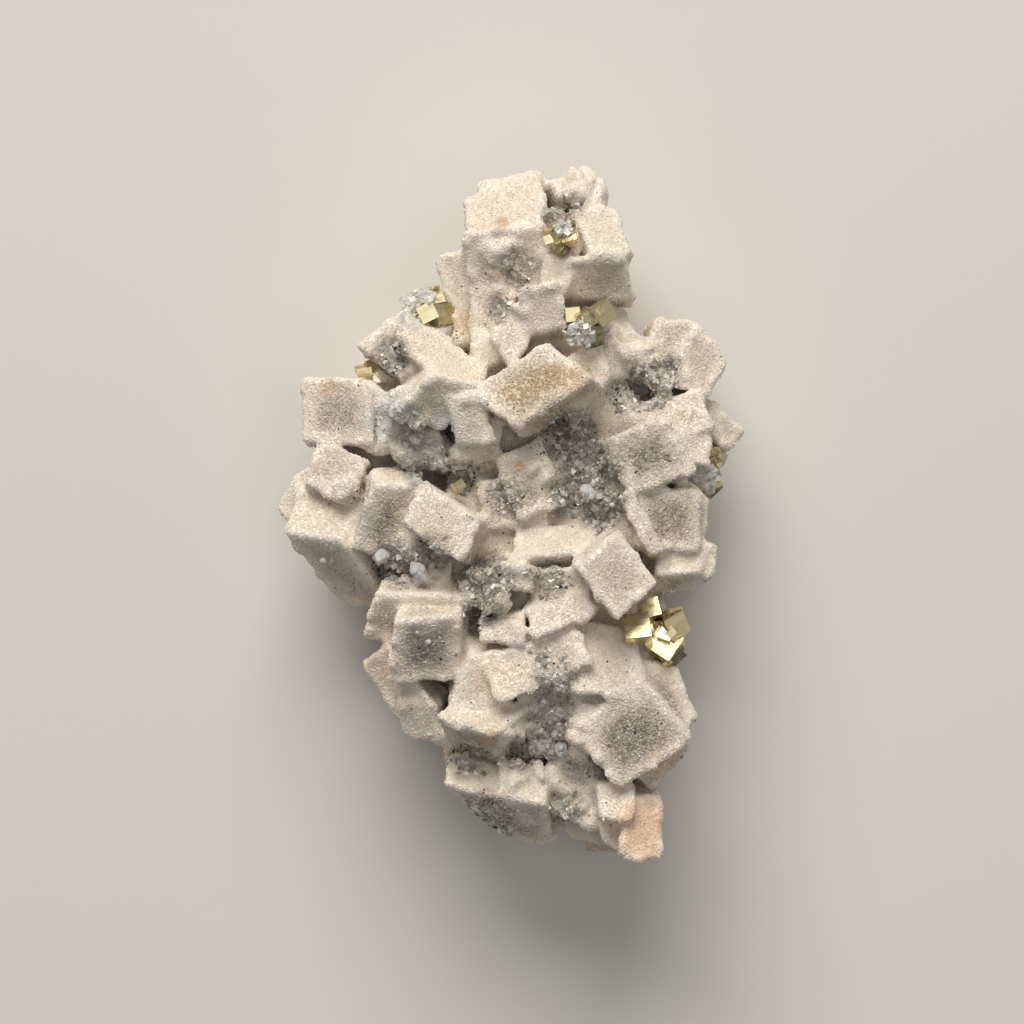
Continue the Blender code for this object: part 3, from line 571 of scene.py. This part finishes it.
def set_places(mesh, places):
    mesh.vertices.foreach_set("co", (places * MM).ravel())
    mesh.update()


def vertex_normals(mesh):
    flat = np.empty(len(mesh.vertices) * 3)
    mesh.vertices.foreach_get("normal", flat)
    return flat.reshape(-1, 3)


def mesh_edges(mesh):
    flat = np.empty(len(mesh.edges) * 2, dtype=np.int64)
    mesh.edges.foreach_get("vertices", flat)
    return flat.reshape(-1, 2)


def relaxed(places, edges, turns, share=RELAX):
    """The places after each has moved towards the mean of its neighbours, turns times over."""
    ends = np.concatenate([edges[:, 0], edges[:, 1]])
    others = np.concatenate([edges[:, 1], edges[:, 0]])
    count = np.maximum(np.bincount(ends, minlength=len(places)), 1)[:, None]
    for _ in range(turns):
        total = np.stack([np.bincount(ends, places[others, k], len(places)) for k in range(3)], axis=1)
        places = places + share * (total / count - places)
    return places


def smoothed(values, edges, turns):
    """A value per vertex, evened out over its neighbours."""
    return relaxed(np.repeat(values[:, None], 3, axis=1), edges, turns)[:, 0]


def step(low, high, values):
    """0 below low, 1 above high, and a smooth rise between."""
    share = np.clip((values - low) / (high - low), 0, 1)
    return share * share * (3 - 2 * share)


def noise_at(places, size, seed):
    """Smooth noise from -1 to 1 with features of the given size."""
    shift = Vector((seed * 17.3, seed * -9.1, seed * 4.7))
    return np.array([noise.noise(Vector(p) + shift) for p in places / size])


def crystal_edges(mesh):
    """The crystals' sharp outer edges, each as its two ends in millimetres and the way that it faces."""
    bm = bmesh.new()
    bm.from_mesh(mesh)
    bmesh.ops.remove_doubles(bm, verts=bm.verts, dist=WELD * MM)
    found = []
    for edge in bm.edges:
        if not edge.is_convex or edge.calc_face_angle(0) < SHARP_EDGE:
            continue
        first, last = (vertex.co / MM for vertex in edge.verts)
        if (last - first).length < SHORTEST_EDGE or max(first.z, last.z) < LOWEST_EDGE:
            continue
        out = (edge.link_faces[0].normal + edge.link_faces[1].normal).normalized()
        found.append((first, last, out))
    bm.free()
    return found


def edge_tree(edges):
    """Points all along the edges, in a tree."""
    points = []
    for first, last, _ in edges:
        count = max(2, int((last - first).length / EDGE_STEP))
        points += [first.lerp(last, k / (count - 1)) for k in range(count)]
    tree = KDTree(len(points))
    for k, point in enumerate(points):
        tree.insert(point, k)
    tree.balance()
    return tree


def add_block(bm, centre, edges):
    """Adds a block about its centre, spanned by three edges, in millimetres."""
    square = [(-1, -1), (1, -1), (1, 1), (-1, 1)]
    signs = [(first, second, third) for third in (-1, 1) for first, second in square]
    verts = []
    for sign in signs:
        corner = centre + sum((e * (s / 2) for e, s in zip(edges, sign)), Vector())
        verts.append(bm.verts.new(corner * MM))
    for quad in ((3, 2, 1, 0), (4, 5, 6, 7), (0, 1, 5, 4), (1, 2, 6, 5), (2, 3, 7, 6), (3, 0, 4, 7)):
        bm.faces.new([verts[k] for k in quad])


def with_edge_crystals(mesh, edges, rng):
    """The mesh with small crystals grown along its edges, parallel to them, each sunk most of the way in."""
    bm = bmesh.new()
    bm.from_mesh(mesh)
    for first, last, out in edges:
        along = (last - first).normalized()
        side = along.cross(out)
        for _ in range(rng.poisson((last - first).length / EDGE_CRYSTAL_SPACING)):
            length, width, height = rng.uniform(*EDGE_CRYSTAL_LENGTH), *rng.uniform(*EDGE_CRYSTAL_WIDTH, 2)
            turn = rng.uniform(0, math.pi / 2)
            up = out * math.cos(turn) + side * math.sin(turn)
            across = along.cross(up)
            spot = first.lerp(last, rng.uniform(*EDGE_CRYSTAL_PLACE))
            spot -= out * (EDGE_CRYSTAL_SINK * (width + height) / 2)
            spot += side * rng.uniform(-EDGE_CRYSTAL_SHIFT, EDGE_CRYSTAL_SHIFT)
            skewed = across * width + along * EDGE_CRYSTAL_SKEW * width
            add_block(bm, spot, (along * length, up * height, skewed))
    made = bpy.data.meshes.new("grown")
    bm.to_mesh(made)
    bm.free()
    return made


def zone_values(zones, places, ragged):
    """How strongly each place lies in the zones, which have ragged borders."""
    values = np.zeros(len(places))
    for _, x, y, radius, strength in zones:
        away = np.hypot(places[:, 0] - x, places[:, 1] - y) + ragged * min(1.0, radius / 4)
        values = np.maximum(values, strength * (1 - step(0.5 * radius, 1.2 * radius, away)))
    return values


def rounded(places, edges, crisp):
    """The places rounded off, less where crisp is 1 than where it is 0."""
    sharper = relaxed(places, edges, CRISP_TURNS)
    softer = relaxed(sharper, edges, SOFT_TURNS)
    return softer + (sharper - softer) * crisp[:, None]


def hollow_zones(strength=None):
    """The hollows as zones: of full strength, or of what one of their columns gives."""
    return [(*row[:4], 1.0 if strength is None else row[strength]) for row in HOLLOWS]


def dolomite_surface(rng):
    """The body's mesh: crystals with ragged pale rims, grainy hollows and greyish faces, painted shade on
    faces turned from the key lamp and in deep seams, and its zones.
    """
    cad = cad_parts["dolomite_cluster"].data
    crystals = crystal_edges(cad)
    skin = remeshed(with_edge_crystals(cad, crystals, rng), VOXEL)
    edges = mesh_edges(skin)
    places = vertex_places(skin)
    ragged = sum(noise_at(places, size, RAGGED_SEED + k) * height for k, (size, height) in enumerate(RAGGED))
    places = rounded(places, edges, zone_values(hollow_zones(), places, ragged))
    set_places(skin, places)
    normals = vertex_normals(skin)
    broad = relaxed(places, edges, BROAD_TURNS)
    cavity = np.einsum("ij,ij->i", broad - places, normals)
    tree = edge_tree(crystals)
    away = np.array([tree.find(Vector(p))[2] for p in places])
    facing = step(*FACES_UP, normals[:, 2]) * step(*FRONT, places[:, 2])
    inner = step(*INNER, away + 0.35 * ragged)
    slope = smoothed(normals[:, 1], edges, 3)
    depth = smoothed(zone_values(hollow_zones(HOLLOW_DEPTH), places, 0.4 * ragged), edges, 6)
    standing = step(*STANDS_OUT, -cavity)
    outer = facing * (1 - 0.5 * standing)
    grainy = zone_values(hollow_zones(), places, ragged) * outer
    hollow = zone_values(hollow_zones(HOLLOW_GREYNESS), places, ragged) * outer
    face = zone_values(FACES, places, ragged) * facing * (0.25 + 0.75 * inner)
    patchy = 0.65 + 0.35 * noise_at(places, PATCH_SIZE, PATCH_SEED)
    # Painted shade, partly the faces' own grey: faces that don't turn towards the key lamp above the crown
    # are greyer
    plain = PLAIN_GREY_AND_SHADE * inner * (1 - step(*FACES_CROWN, slope)) * patchy
    # Painted shade, partly grey grains: faces that turn towards the toe, away from the key lamp, are much
    # greyer
    under = UNDER_GREY_AND_SHADE * step(*FACES_TOE, -slope) * (0.4 + 0.6 * inner) * patchy
    # Painted shade in deep seams and recesses, where grey grains lie too
    deep_grey_and_shade = SEAM_GREY_AND_SHADE * step(*LIES_DEEP, cavity)
    # The grey of the hollows and face middles, together with the painted shade above
    grey_veil_and_shade = smoothed(np.clip(np.maximum.reduce([hollow, face, plain, under, deep_grey_and_shade]), 0, 1), edges, 2)
    rim = np.exp(-(away / RIM_REACH) ** 2) * (1 - grainy)
    lift = RIM_LIFT * rim + SWELL - FACE_DEPTH * np.maximum(face, 0.5 * plain)
    for k, (size, height) in enumerate(LUMPS):
        lift += noise_at(places, size, LUMP_SEED + k) * height * (0.6 + grey_veil_and_shade)
    places = places + normals * lift[:, None]
    places[:, 2] -= depth * facing * (1 - 0.5 * standing)
    low, high = (np.array(corner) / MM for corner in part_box("dolomite_cluster"))
    places = np.clip(places, low, high)
    set_places(skin, places)
    bluish = zone_values(BLUISH, places, ragged) * facing
    zones = {
        "grey_veil_and_shade": grey_veil_and_shade,
        "grainy": np.maximum.reduce([grainy, 0.7 * under, 0.9 * bluish]),
        "rim": rim,
        "bluish": bluish,
        "rust": zone_values(RUST, places, 0.5 * ragged) * facing,
        # pink crystals, and painted reddish light on the toe and the lower edges
        "pink_and_red_light": zone_values(PINK_AND_RED_LIGHT, places, ragged) * facing,
        "tan": zone_values(TAN, places, ragged) * facing * (0.4 + 0.6 * inner),
        "speck": zone_values(PITS, places, 0.6 * ragged) * facing,
        "tone": 0.40 + 0.25 * noise_at(places, TONE_SIZE, TONE_SEED),
        "cut": (places[:, 2] < 0.01).astype(float),
    }
    return skin, zones


def set_zones(mesh, zones):
    for name, values in zones.items():
        attribute = mesh.attributes.new(name, "FLOAT", "POINT")
        attribute.data.foreach_set("value", np.asarray(values, dtype=np.float32))


def smooth_shaded(mesh):
    mesh.polygons.foreach_set("use_smooth", np.ones(len(mesh.polygons), dtype=bool))


def dissolve_back(mesh):
    """Makes the flat back one face, which needs no small quads."""
    bm = bmesh.new()
    bm.from_mesh(mesh)
    level = 0.002 * MM
    back = [face for face in bm.faces if all(vertex.co.z < level for vertex in face.verts)]
    bmesh.ops.dissolve_faces(bm, faces=back, use_verts=True)
    bm.to_mesh(mesh)
    bm.free()


def rhomb_edges():
    """The three edges of a dolomite rhomb at its blunt corner, one long, pointing down and out from it."""
    blunt = math.radians(101.9)
    lean = math.asin(math.sqrt((1 - math.cos(blunt)) / 1.5))
    out, down = math.sin(lean), math.cos(lean)
    turns = [math.radians(120 * k) for k in range(3)]
    return np.array([(out * math.cos(turn), out * math.sin(turn), -down) for turn in turns])


def rhomb_corner():
    """The blunt corner of a rhomb, whose open side is sunk in what it grows on: three triangles."""
    first, second, third = rhomb_edges()
    return np.array([(0, 0, 0), first, second, third]), [(0, 1, 2), (0, 2, 3), (0, 3, 1)]


def whole_rhomb():
    first, second, third = rhomb_edges()
    corners = [(0, 0, 0), first, second, third, first + second, second + third, third + first,
               first + second + third]
    quads = [(0, 1, 4, 2), (0, 2, 5, 3), (0, 3, 6, 1), (1, 6, 7, 4), (2, 4, 7, 5), (3, 5, 7, 6)]
    return np.array(corners, dtype=float), quads


def mesh_of(name, places, faces):
    """A mesh of flat facets from places in millimetres and faces that all have the same number of corners."""
    count, corners = faces.shape
    mesh = bpy.data.meshes.new(name)
    mesh.vertices.add(len(places))
    mesh.vertices.foreach_set("co", (places * MM).ravel())
    mesh.loops.add(count * corners)
    mesh.loops.foreach_set("vertex_index", faces.ravel())
    mesh.polygons.add(count)
    mesh.polygons.foreach_set("loop_start", np.arange(0, count * corners, corners))
    mesh.polygons.foreach_set("use_smooth", np.zeros(count, dtype=bool))
    mesh.update(calc_edges=True)
    return mesh


def surface_samples(mesh, density, rng, zones):
    """Points on the mesh, their normals and zone values. density is points for each mm2, at each vertex."""
    mesh.calc_loop_triangles()
    flat = np.empty(len(mesh.loop_triangles) * 3, dtype=np.int64)
    mesh.loop_triangles.foreach_get("vertices", flat)
    triangles = flat.reshape(-1, 3)
    places, normals = vertex_places(mesh), vertex_normals(mesh)
    a, b, c = (places[triangles[:, k]] for k in range(3))
    area = np.linalg.norm(np.cross(b - a, c - a), axis=1) / 2
    count = rng.poisson(area * density[triangles].mean(axis=1))
    chosen = np.repeat(np.arange(len(triangles)), count)
    share = rng.random((len(chosen), 2))
    over = share.sum(axis=1) > 1
    share[over] = 1 - share[over]
    weights = np.column_stack([1 - share.sum(axis=1), share])
    corners = triangles[chosen]

    def blended(values):
        return np.einsum("ij,ij...->i...", weights, values[corners])

    points, out = blended(places), blended(normals)
    out /= np.linalg.norm(out, axis=1)[:, None] + 1e-9
    return points, out, {name: blended(values) for name, values in zones.items()}


def scattered(name, shape, faces, points, out, sizes, tilt, proud, zones, rng):
    """A mesh with a copy of the shape at each point: its axis near the normal, its tip proud by so much."""
    count = len(points)
    axis = out + tilt[:, None] * rng.normal(size=(count, 3))
    axis /= np.linalg.norm(axis, axis=1)[:, None]
    across = np.cross(axis, rng.normal(size=(count, 3)))
    across /= np.linalg.norm(across, axis=1)[:, None]
    third = np.cross(axis, across)
    turn = np.stack([across, third, axis], axis=1)
    local = shape[None] * sizes[:, None, None]
    placed = points[:, None] + np.einsum("nij,njk->nik", local, turn) + (axis * proud[:, None])[:, None]
    corners = len(shape)
    first = (np.arange(count) * corners)[:, None, None]
    all_faces = (np.array(faces)[None] + first).reshape(-1, len(faces[0]))
    mesh = mesh_of(name, placed.reshape(-1, 3), all_faces)
    pale = np.clip(rng.random(count) + 0.4 * zones["bluish"], 0, 1)
    own = {"tone": pale, "speck": (rng.random(count) < zones["speck"]).astype(float)}
    set_zones(mesh, {key: np.repeat(values, corners) for key, values in {**zones, **own}.items()})
    return mesh


def thinned(mesh, zones, most):
    """A copy with at most that many triangles, thinned most where it shows least, and its zone values."""
    source = bpy.data.objects.new("thinned", mesh.copy())
    bpy.context.scene.collection.objects.link(source)
    dissolve_back(source.data)
    source.data.calc_loop_triangles()
    places, normals = vertex_places(source.data), vertex_normals(source.data)
    shown = step(-0.4, 0.2, normals[:, 2]) * step(4.0, 16.0, places[:, 2])
    group = source.vertex_groups.new(name="plain")
    for level in range(PLAIN_LEVELS):
        near = np.nonzero(np.round((1 - shown) * (PLAIN_LEVELS - 1)) == level)[0]
        group.add(near.tolist(), level / (PLAIN_LEVELS - 1), "REPLACE")
    modifier = source.modifiers.new("thin", "DECIMATE")
    modifier.ratio = most / len(source.data.loop_triangles)
    modifier.vertex_group = "plain"
    modifier.vertex_group_factor = PLAIN_FACTOR
    bpy.context.view_layer.update()
    graph = bpy.context.evaluated_depsgraph_get()
    thin = bpy.data.meshes.new_from_object(source.evaluated_get(graph))
    bpy.data.objects.remove(source)
    tree = KDTree(len(mesh.vertices))
    for k, place in enumerate(vertex_places(mesh)):
        tree.insert(place, k)
    tree.balance()
    nearest = np.array([tree.find(place)[1] for place in vertex_places(thin)])
    return thin, {name: values[nearest] for name, values in zones.items()}


def make_body(material, rng):
    skin, zones = dolomite_surface(rng)
    body_mesh, body_zones = thinned(skin, zones, BODY_TRIANGLES)
    places = vertex_places(body_mesh)
    places[:, 2] = np.maximum(places[:, 2], 0)
    set_places(body_mesh, places)
    body_zones["speck"] = 0.5 * body_zones["speck"]
    set_zones(body_mesh, body_zones)
    smooth_shaded(body_mesh)
    new_piece("dolomite_body", body_mesh, material, "dolomite", "dolomite_cluster")
    zones["speck"] = zones["speck"] + STRAY_SPECKS + VEIL_SPECKS * zones["grey_veil_and_shade"]
    return skin, zones


def make_sugar(skin, zones, material, rng):
    """The skin of small dolomite crystals: the corners of rhombs a fifth to half a millimetre across."""
    places, normals = vertex_places(skin), vertex_normals(skin)
    seen = step(-0.3, 0.3, normals[:, 2]) * step(2.0, 12.0, places[:, 2])
    density = GRAINS_HIDDEN + (GRAINS_SEEN - GRAINS_HIDDEN) * seen
    density[places[:, 2] < GRAINS_LOWEST] = 0.0
    density *= 1 - 0.35 * zones["grey_veil_and_shade"]
    points, out, values = surface_samples(skin, density, rng, zones)
    shape, faces = rhomb_corner()
    sizes = rng.uniform(*GRAIN_EDGE, len(points)) * (1 + 0.5 * values["grey_veil_and_shade"])
    tilt = 0.22 + 0.18 * values["grey_veil_and_shade"]
    proud = sizes * GRAIN_PROUD
    bands = np.digitize(points[:, 1], BAND_BORDERS)
    for k, part in enumerate(BANDS):
        here = bands == k
        own = {name: value[here] for name, value in values.items()}
        mesh = scattered(f"sugar_{part}", shape, faces, points[here], out[here], sizes[here],
                         tilt[here], proud[here], own, rng)
        new_piece(f"sugar_{part}", mesh, material, "dolomite")


def make_druse(skin, zones, material, rng):
    """Larger glassy rhombs in the grey hollows."""
    density = DRUSE_DENSITY * step(0.30, 0.90, zones["grainy"])
    density[vertex_places(skin)[:, 2] < DRUSE_LOWEST] = 0.0
    points, out, values = surface_samples(skin, density, rng, zones)
    values["speck"] *= 0.3
    shape, faces = whole_rhomb()
    low, high = DRUSE_EDGE
    sizes = (low + (high - low) * rng.random(len(points)) ** 2.5) * (0.6 + 0.4 * values["grainy"])
    tilt = np.full(len(points), DRUSE_TILT)
    mesh = scattered("druse", shape, faces, points, out, sizes, tilt, sizes * WHOLE_PROUD, values, rng)
    new_piece("druse", mesh, material, "dolomite")


def turn_to(facing, spin):
    """The turn that points +Z the given way, after a spin about it in degrees."""
    away = Vector(facing).normalized()
    side = Vector((1, 0, 0)) - away * away.x
    side.normalize()
    turn = Matrix((side, away.cross(side), away)).transposed()
    return turn @ Matrix.Rotation(math.radians(spin), 3, "Z")


def groove_profile(half, slope_limit, rng):
    """Across a cube's face, from -half to half: the ends of each growth step, with its height and tone."""
    cuts = np.sort(rng.uniform(-half, half, max(2, int(2 * half / GROOVE_STEP))))
    borders = [-half, *cuts, half]
    points = [(-half, 0.0, 0.5)]
    for low, high in zip(borders, borders[1:]):
        height, slope, tone = rng.uniform(0, GROOVE_DEPTH), rng.uniform(-1, 1) * slope_limit, rng.random()
        points += [(low, height, tone), (high, height + (high - low) * slope, tone)]
    return points + [(half, 0.0, 0.5)]


def grooved_cube(cube, rng):
    """A cube with growth steps, which cross from face to face as in nature: its corners, tones and faces."""
    half = cube.edge / 2
    slope_limit = 0 if cube.facing == BRIGHT else GROOVE_SLOPE
    corners, tones, faces = [], [], []
    for axis in range(3):
        along, across = (axis + 1) % 3, (axis + 2) % 3
        for side in (-1, 1):
            for profile in (groove_profile(half, slope_limit, rng), [(-half, 0.0, 0.3), (half, 0.0, 0.3)]):
                start = len(corners)
                for place, height, tone in profile:
                    for end in (-half, half):
                        corner = np.zeros(3)
                        corner[along], corner[across], corner[axis] = end, place, side * (half + height)
                        corners.append(corner)
                        tones.append(tone)
                for k in range(start, len(corners) - 2, 2):
                    face = (k, k + 1, k + 3, k + 2)
                    faces.append(face if side > 0 else face[::-1])
    turn = np.array(turn_to(cube.facing, cube.spin))
    return np.array(corners) @ turn.T + np.array(cube.centre), tones, faces


def intergrown(cubes, rng):
    """The cubes, and small ones that grew on each, nearly parallel to it."""
    grown = list(cubes)
    for cube in cubes:
        for _ in range(0 if cube.facing == BRIGHT else SMALL_CUBES):
            way = rng.normal(size=3)
            way /= np.linalg.norm(way)
            way[2] = abs(way[2])
            edge = cube.edge * rng.uniform(*SMALL_CUBE_EDGE)
            centre = np.array(cube.centre) + way * (cube.edge * SMALL_CUBE_AWAY)
            facing = np.array(cube.facing) + SMALL_CUBE_LEAN * rng.normal(size=3)
            spin = cube.spin + SMALL_CUBE_SPIN * rng.normal()
            grown.append(Cube(tuple(centre), edge, tuple(facing), spin))
    return grown


def make_pyrite(material, rng):
    """The pyrite groups, and a tree of their faces for what grows on them."""
    all_places, all_faces = [], []
    for name, cubes in PYRITE.items():
        places, tones, faces = [], [], []
        for cube in intergrown(cubes, rng):
            corners, cube_tones, cube_faces = grooved_cube(cube, rng)
            faces += [tuple(k + len(places) for k in face) for face in cube_faces]
            places += list(corners)
            tones += cube_tones
        all_faces += [tuple(k + len(all_places) for k in face) for face in faces]
        all_places += places
        mesh = mesh_of(name, np.array(places), np.array(faces))
        set_zones(mesh, {"tone": tones})
        new_piece(f"{name}_cubes", mesh, material, "pyrite", name)
    return BVHTree.FromPolygons([tuple(p) for p in all_places], all_faces)


def make_frost(tree, material, rng):
    """Small grey crystals that coat parts of the pyrite."""
    points, out = [], []
    for _, x, y, radius, count in FROST:
        for _ in range(count):
            angle, far = rng.uniform(0, 2 * math.pi), radius * math.sqrt(rng.random())
            above = Vector((x + far * math.cos(angle), y + far * math.sin(angle), ABOVE_ALL))
            hit, normal, _, _ = tree.ray_cast(above, Vector((0, 0, -1)))
            if hit is not None:
                points.append(hit)
                out.append(normal)
    count = len(points)
    zones = {"bluish": rng.uniform(0.3, 1.0, count), "speck": np.full(count, 0.01)}
    shape, faces = whole_rhomb()
    sizes = rng.uniform(*FROST_EDGE, count)
    tilt = np.full(count, FROST_TILT)
    mesh = scattered("pyrite_frost", shape, faces, np.array(points), np.array(out), sizes,
                     tilt, sizes * WHOLE_PROUD, zones, rng)
    new_piece("pyrite_frost", mesh, material, "dolomite")


def make_quartz(material, rng):
    """Each quartz crystal with smaller ones about it, their edges a little worn."""
    for name in [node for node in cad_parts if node.startswith("quartz")]:
        bm = bmesh.new()
        low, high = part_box(name)
        middle = (Vector(low) + Vector(high)) / 2
        for k in range(SMALL_QUARTZ + 1):
            known = len(bm.verts)
            bm.from_mesh(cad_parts[name].data)
            bm.verts.ensure_lookup_table()
            grown = bm.verts[known:]
            if k > 0:
                way = Vector(rng.normal(size=3)).normalized()
                way.z = abs(way.z)
                turn = turn_to(way, rng.uniform(0, 360)).to_4x4()
                place = Matrix.Translation(middle + way * SMALL_QUARTZ_AWAY * MM)
                smaller = Matrix.Scale(rng.uniform(*SMALL_QUARTZ_SIZE), 4)
                change = place @ turn @ smaller @ Matrix.Translation(-middle)
                bmesh.ops.transform(bm, matrix=change, verts=grown)
        bmesh.ops.remove_doubles(bm, verts=bm.verts, dist=WELD * MM)
        bmesh.ops.bevel(bm, geom=bm.edges[:], offset=QUARTZ_WEAR * MM, segments=2, affect="EDGES")
        mesh = bpy.data.meshes.new(name)
        bm.to_mesh(mesh)
        bm.free()
        new_piece(f"{name}_group", mesh, material, "quartz", name)


def make_droplets(skin, material, rng):
    """Rounded clear quartz that sits on the grains."""
    places = vertex_places(skin)
    bm = bmesh.new()
    for x, y, radius in DROPLETS:
        near = places[np.hypot(places[:, 0] - x, places[:, 1] - y) < 0.5]
        made = bmesh.ops.create_icosphere(bm, subdivisions=2, radius=radius * MM)
        squash = Matrix.Diagonal((1, rng.uniform(0.75, 1), rng.uniform(0.6, 0.9), 1))
        move = Matrix.Translation(Vector((x, y, near[:, 2].max() + 0.2 * radius)) * MM)
        bmesh.ops.transform(bm, matrix=move @ squash, verts=made["verts"])
    mesh = bpy.data.meshes.new("droplets")
    bm.to_mesh(mesh)
    bm.free()
    smooth_shaded(mesh)
    new_piece("quartz_droplets", mesh, material, "quartz")


def make_floor():
    mesh = bpy.data.meshes.new("floor")
    half = 1.5  # metres
    corners = [(-half, -half, 0), (half, -half, 0), (half, half, 0), (-half, half, 0)]
    mesh.from_pydata(corners, [], [(0, 1, 2, 3)])
    mesh.materials.append(studio_paper())
    floor = bpy.data.objects.new("floor", mesh)
    bpy.context.scene.collection.objects.link(floor)


def make_light(name, toward, distance, size, power, colour):
    """A soft area light that stands off in the given direction and faces the specimen."""
    lamp = bpy.data.lights.new(name, "AREA")
    lamp.shape = "DISK"
    lamp.size = size
    lamp.energy = power
    lamp.color = linear(colour)[:3]
    light = bpy.data.objects.new(name, lamp)
    direction = Vector(toward).normalized()
    light.location = direction * distance
    light.rotation_euler = direction.to_track_quat("Z", "Y").to_euler()
    bpy.context.scene.collection.objects.link(light)


def make_lights():
    for lamp in LAMPS:
        make_light(*lamp)
    world = bpy.data.worlds.new("studio")
    world.use_nodes = True
    background = world.node_tree.nodes["Background"]
    background.inputs["Color"].default_value = linear(ROOM_COLOUR)
    background.inputs["Strength"].default_value = ROOM_LIGHT
    bpy.context.scene.world = world


def make_camera():
    camera = bpy.data.cameras.new("camera")
    camera.lens = LENS_MM
    camera.sensor_width = SENSOR_MM
    camera.clip_start = 0.01
    camera.clip_end = 10
    made = bpy.data.objects.new("camera", camera)
    made.location = (AIM[0] * MM, AIM[1] * MM, CAMERA_HEIGHT * MM)
    bpy.context.scene.collection.objects.link(made)
    bpy.context.scene.camera = made


def main():
    rng = np.random.default_rng(SEED)
    make_camera()
    make_floor()
    make_lights()
    bpy.context.scene.view_settings.view_transform = "Standard"
    frosted, clear, quartz = frosted_dolomite(), clear_dolomite(), milky_quartz()
    skin, zones = make_body(frosted, rng)
    make_sugar(skin, zones, frosted, rng)
    make_druse(skin, zones, clear, rng)
    pyrite_tree = make_pyrite(striated_pyrite(), rng)
    make_frost(pyrite_tree, clear, rng)
    make_quartz(quartz, rng)
    make_droplets(skin, quartz, rng)


main()
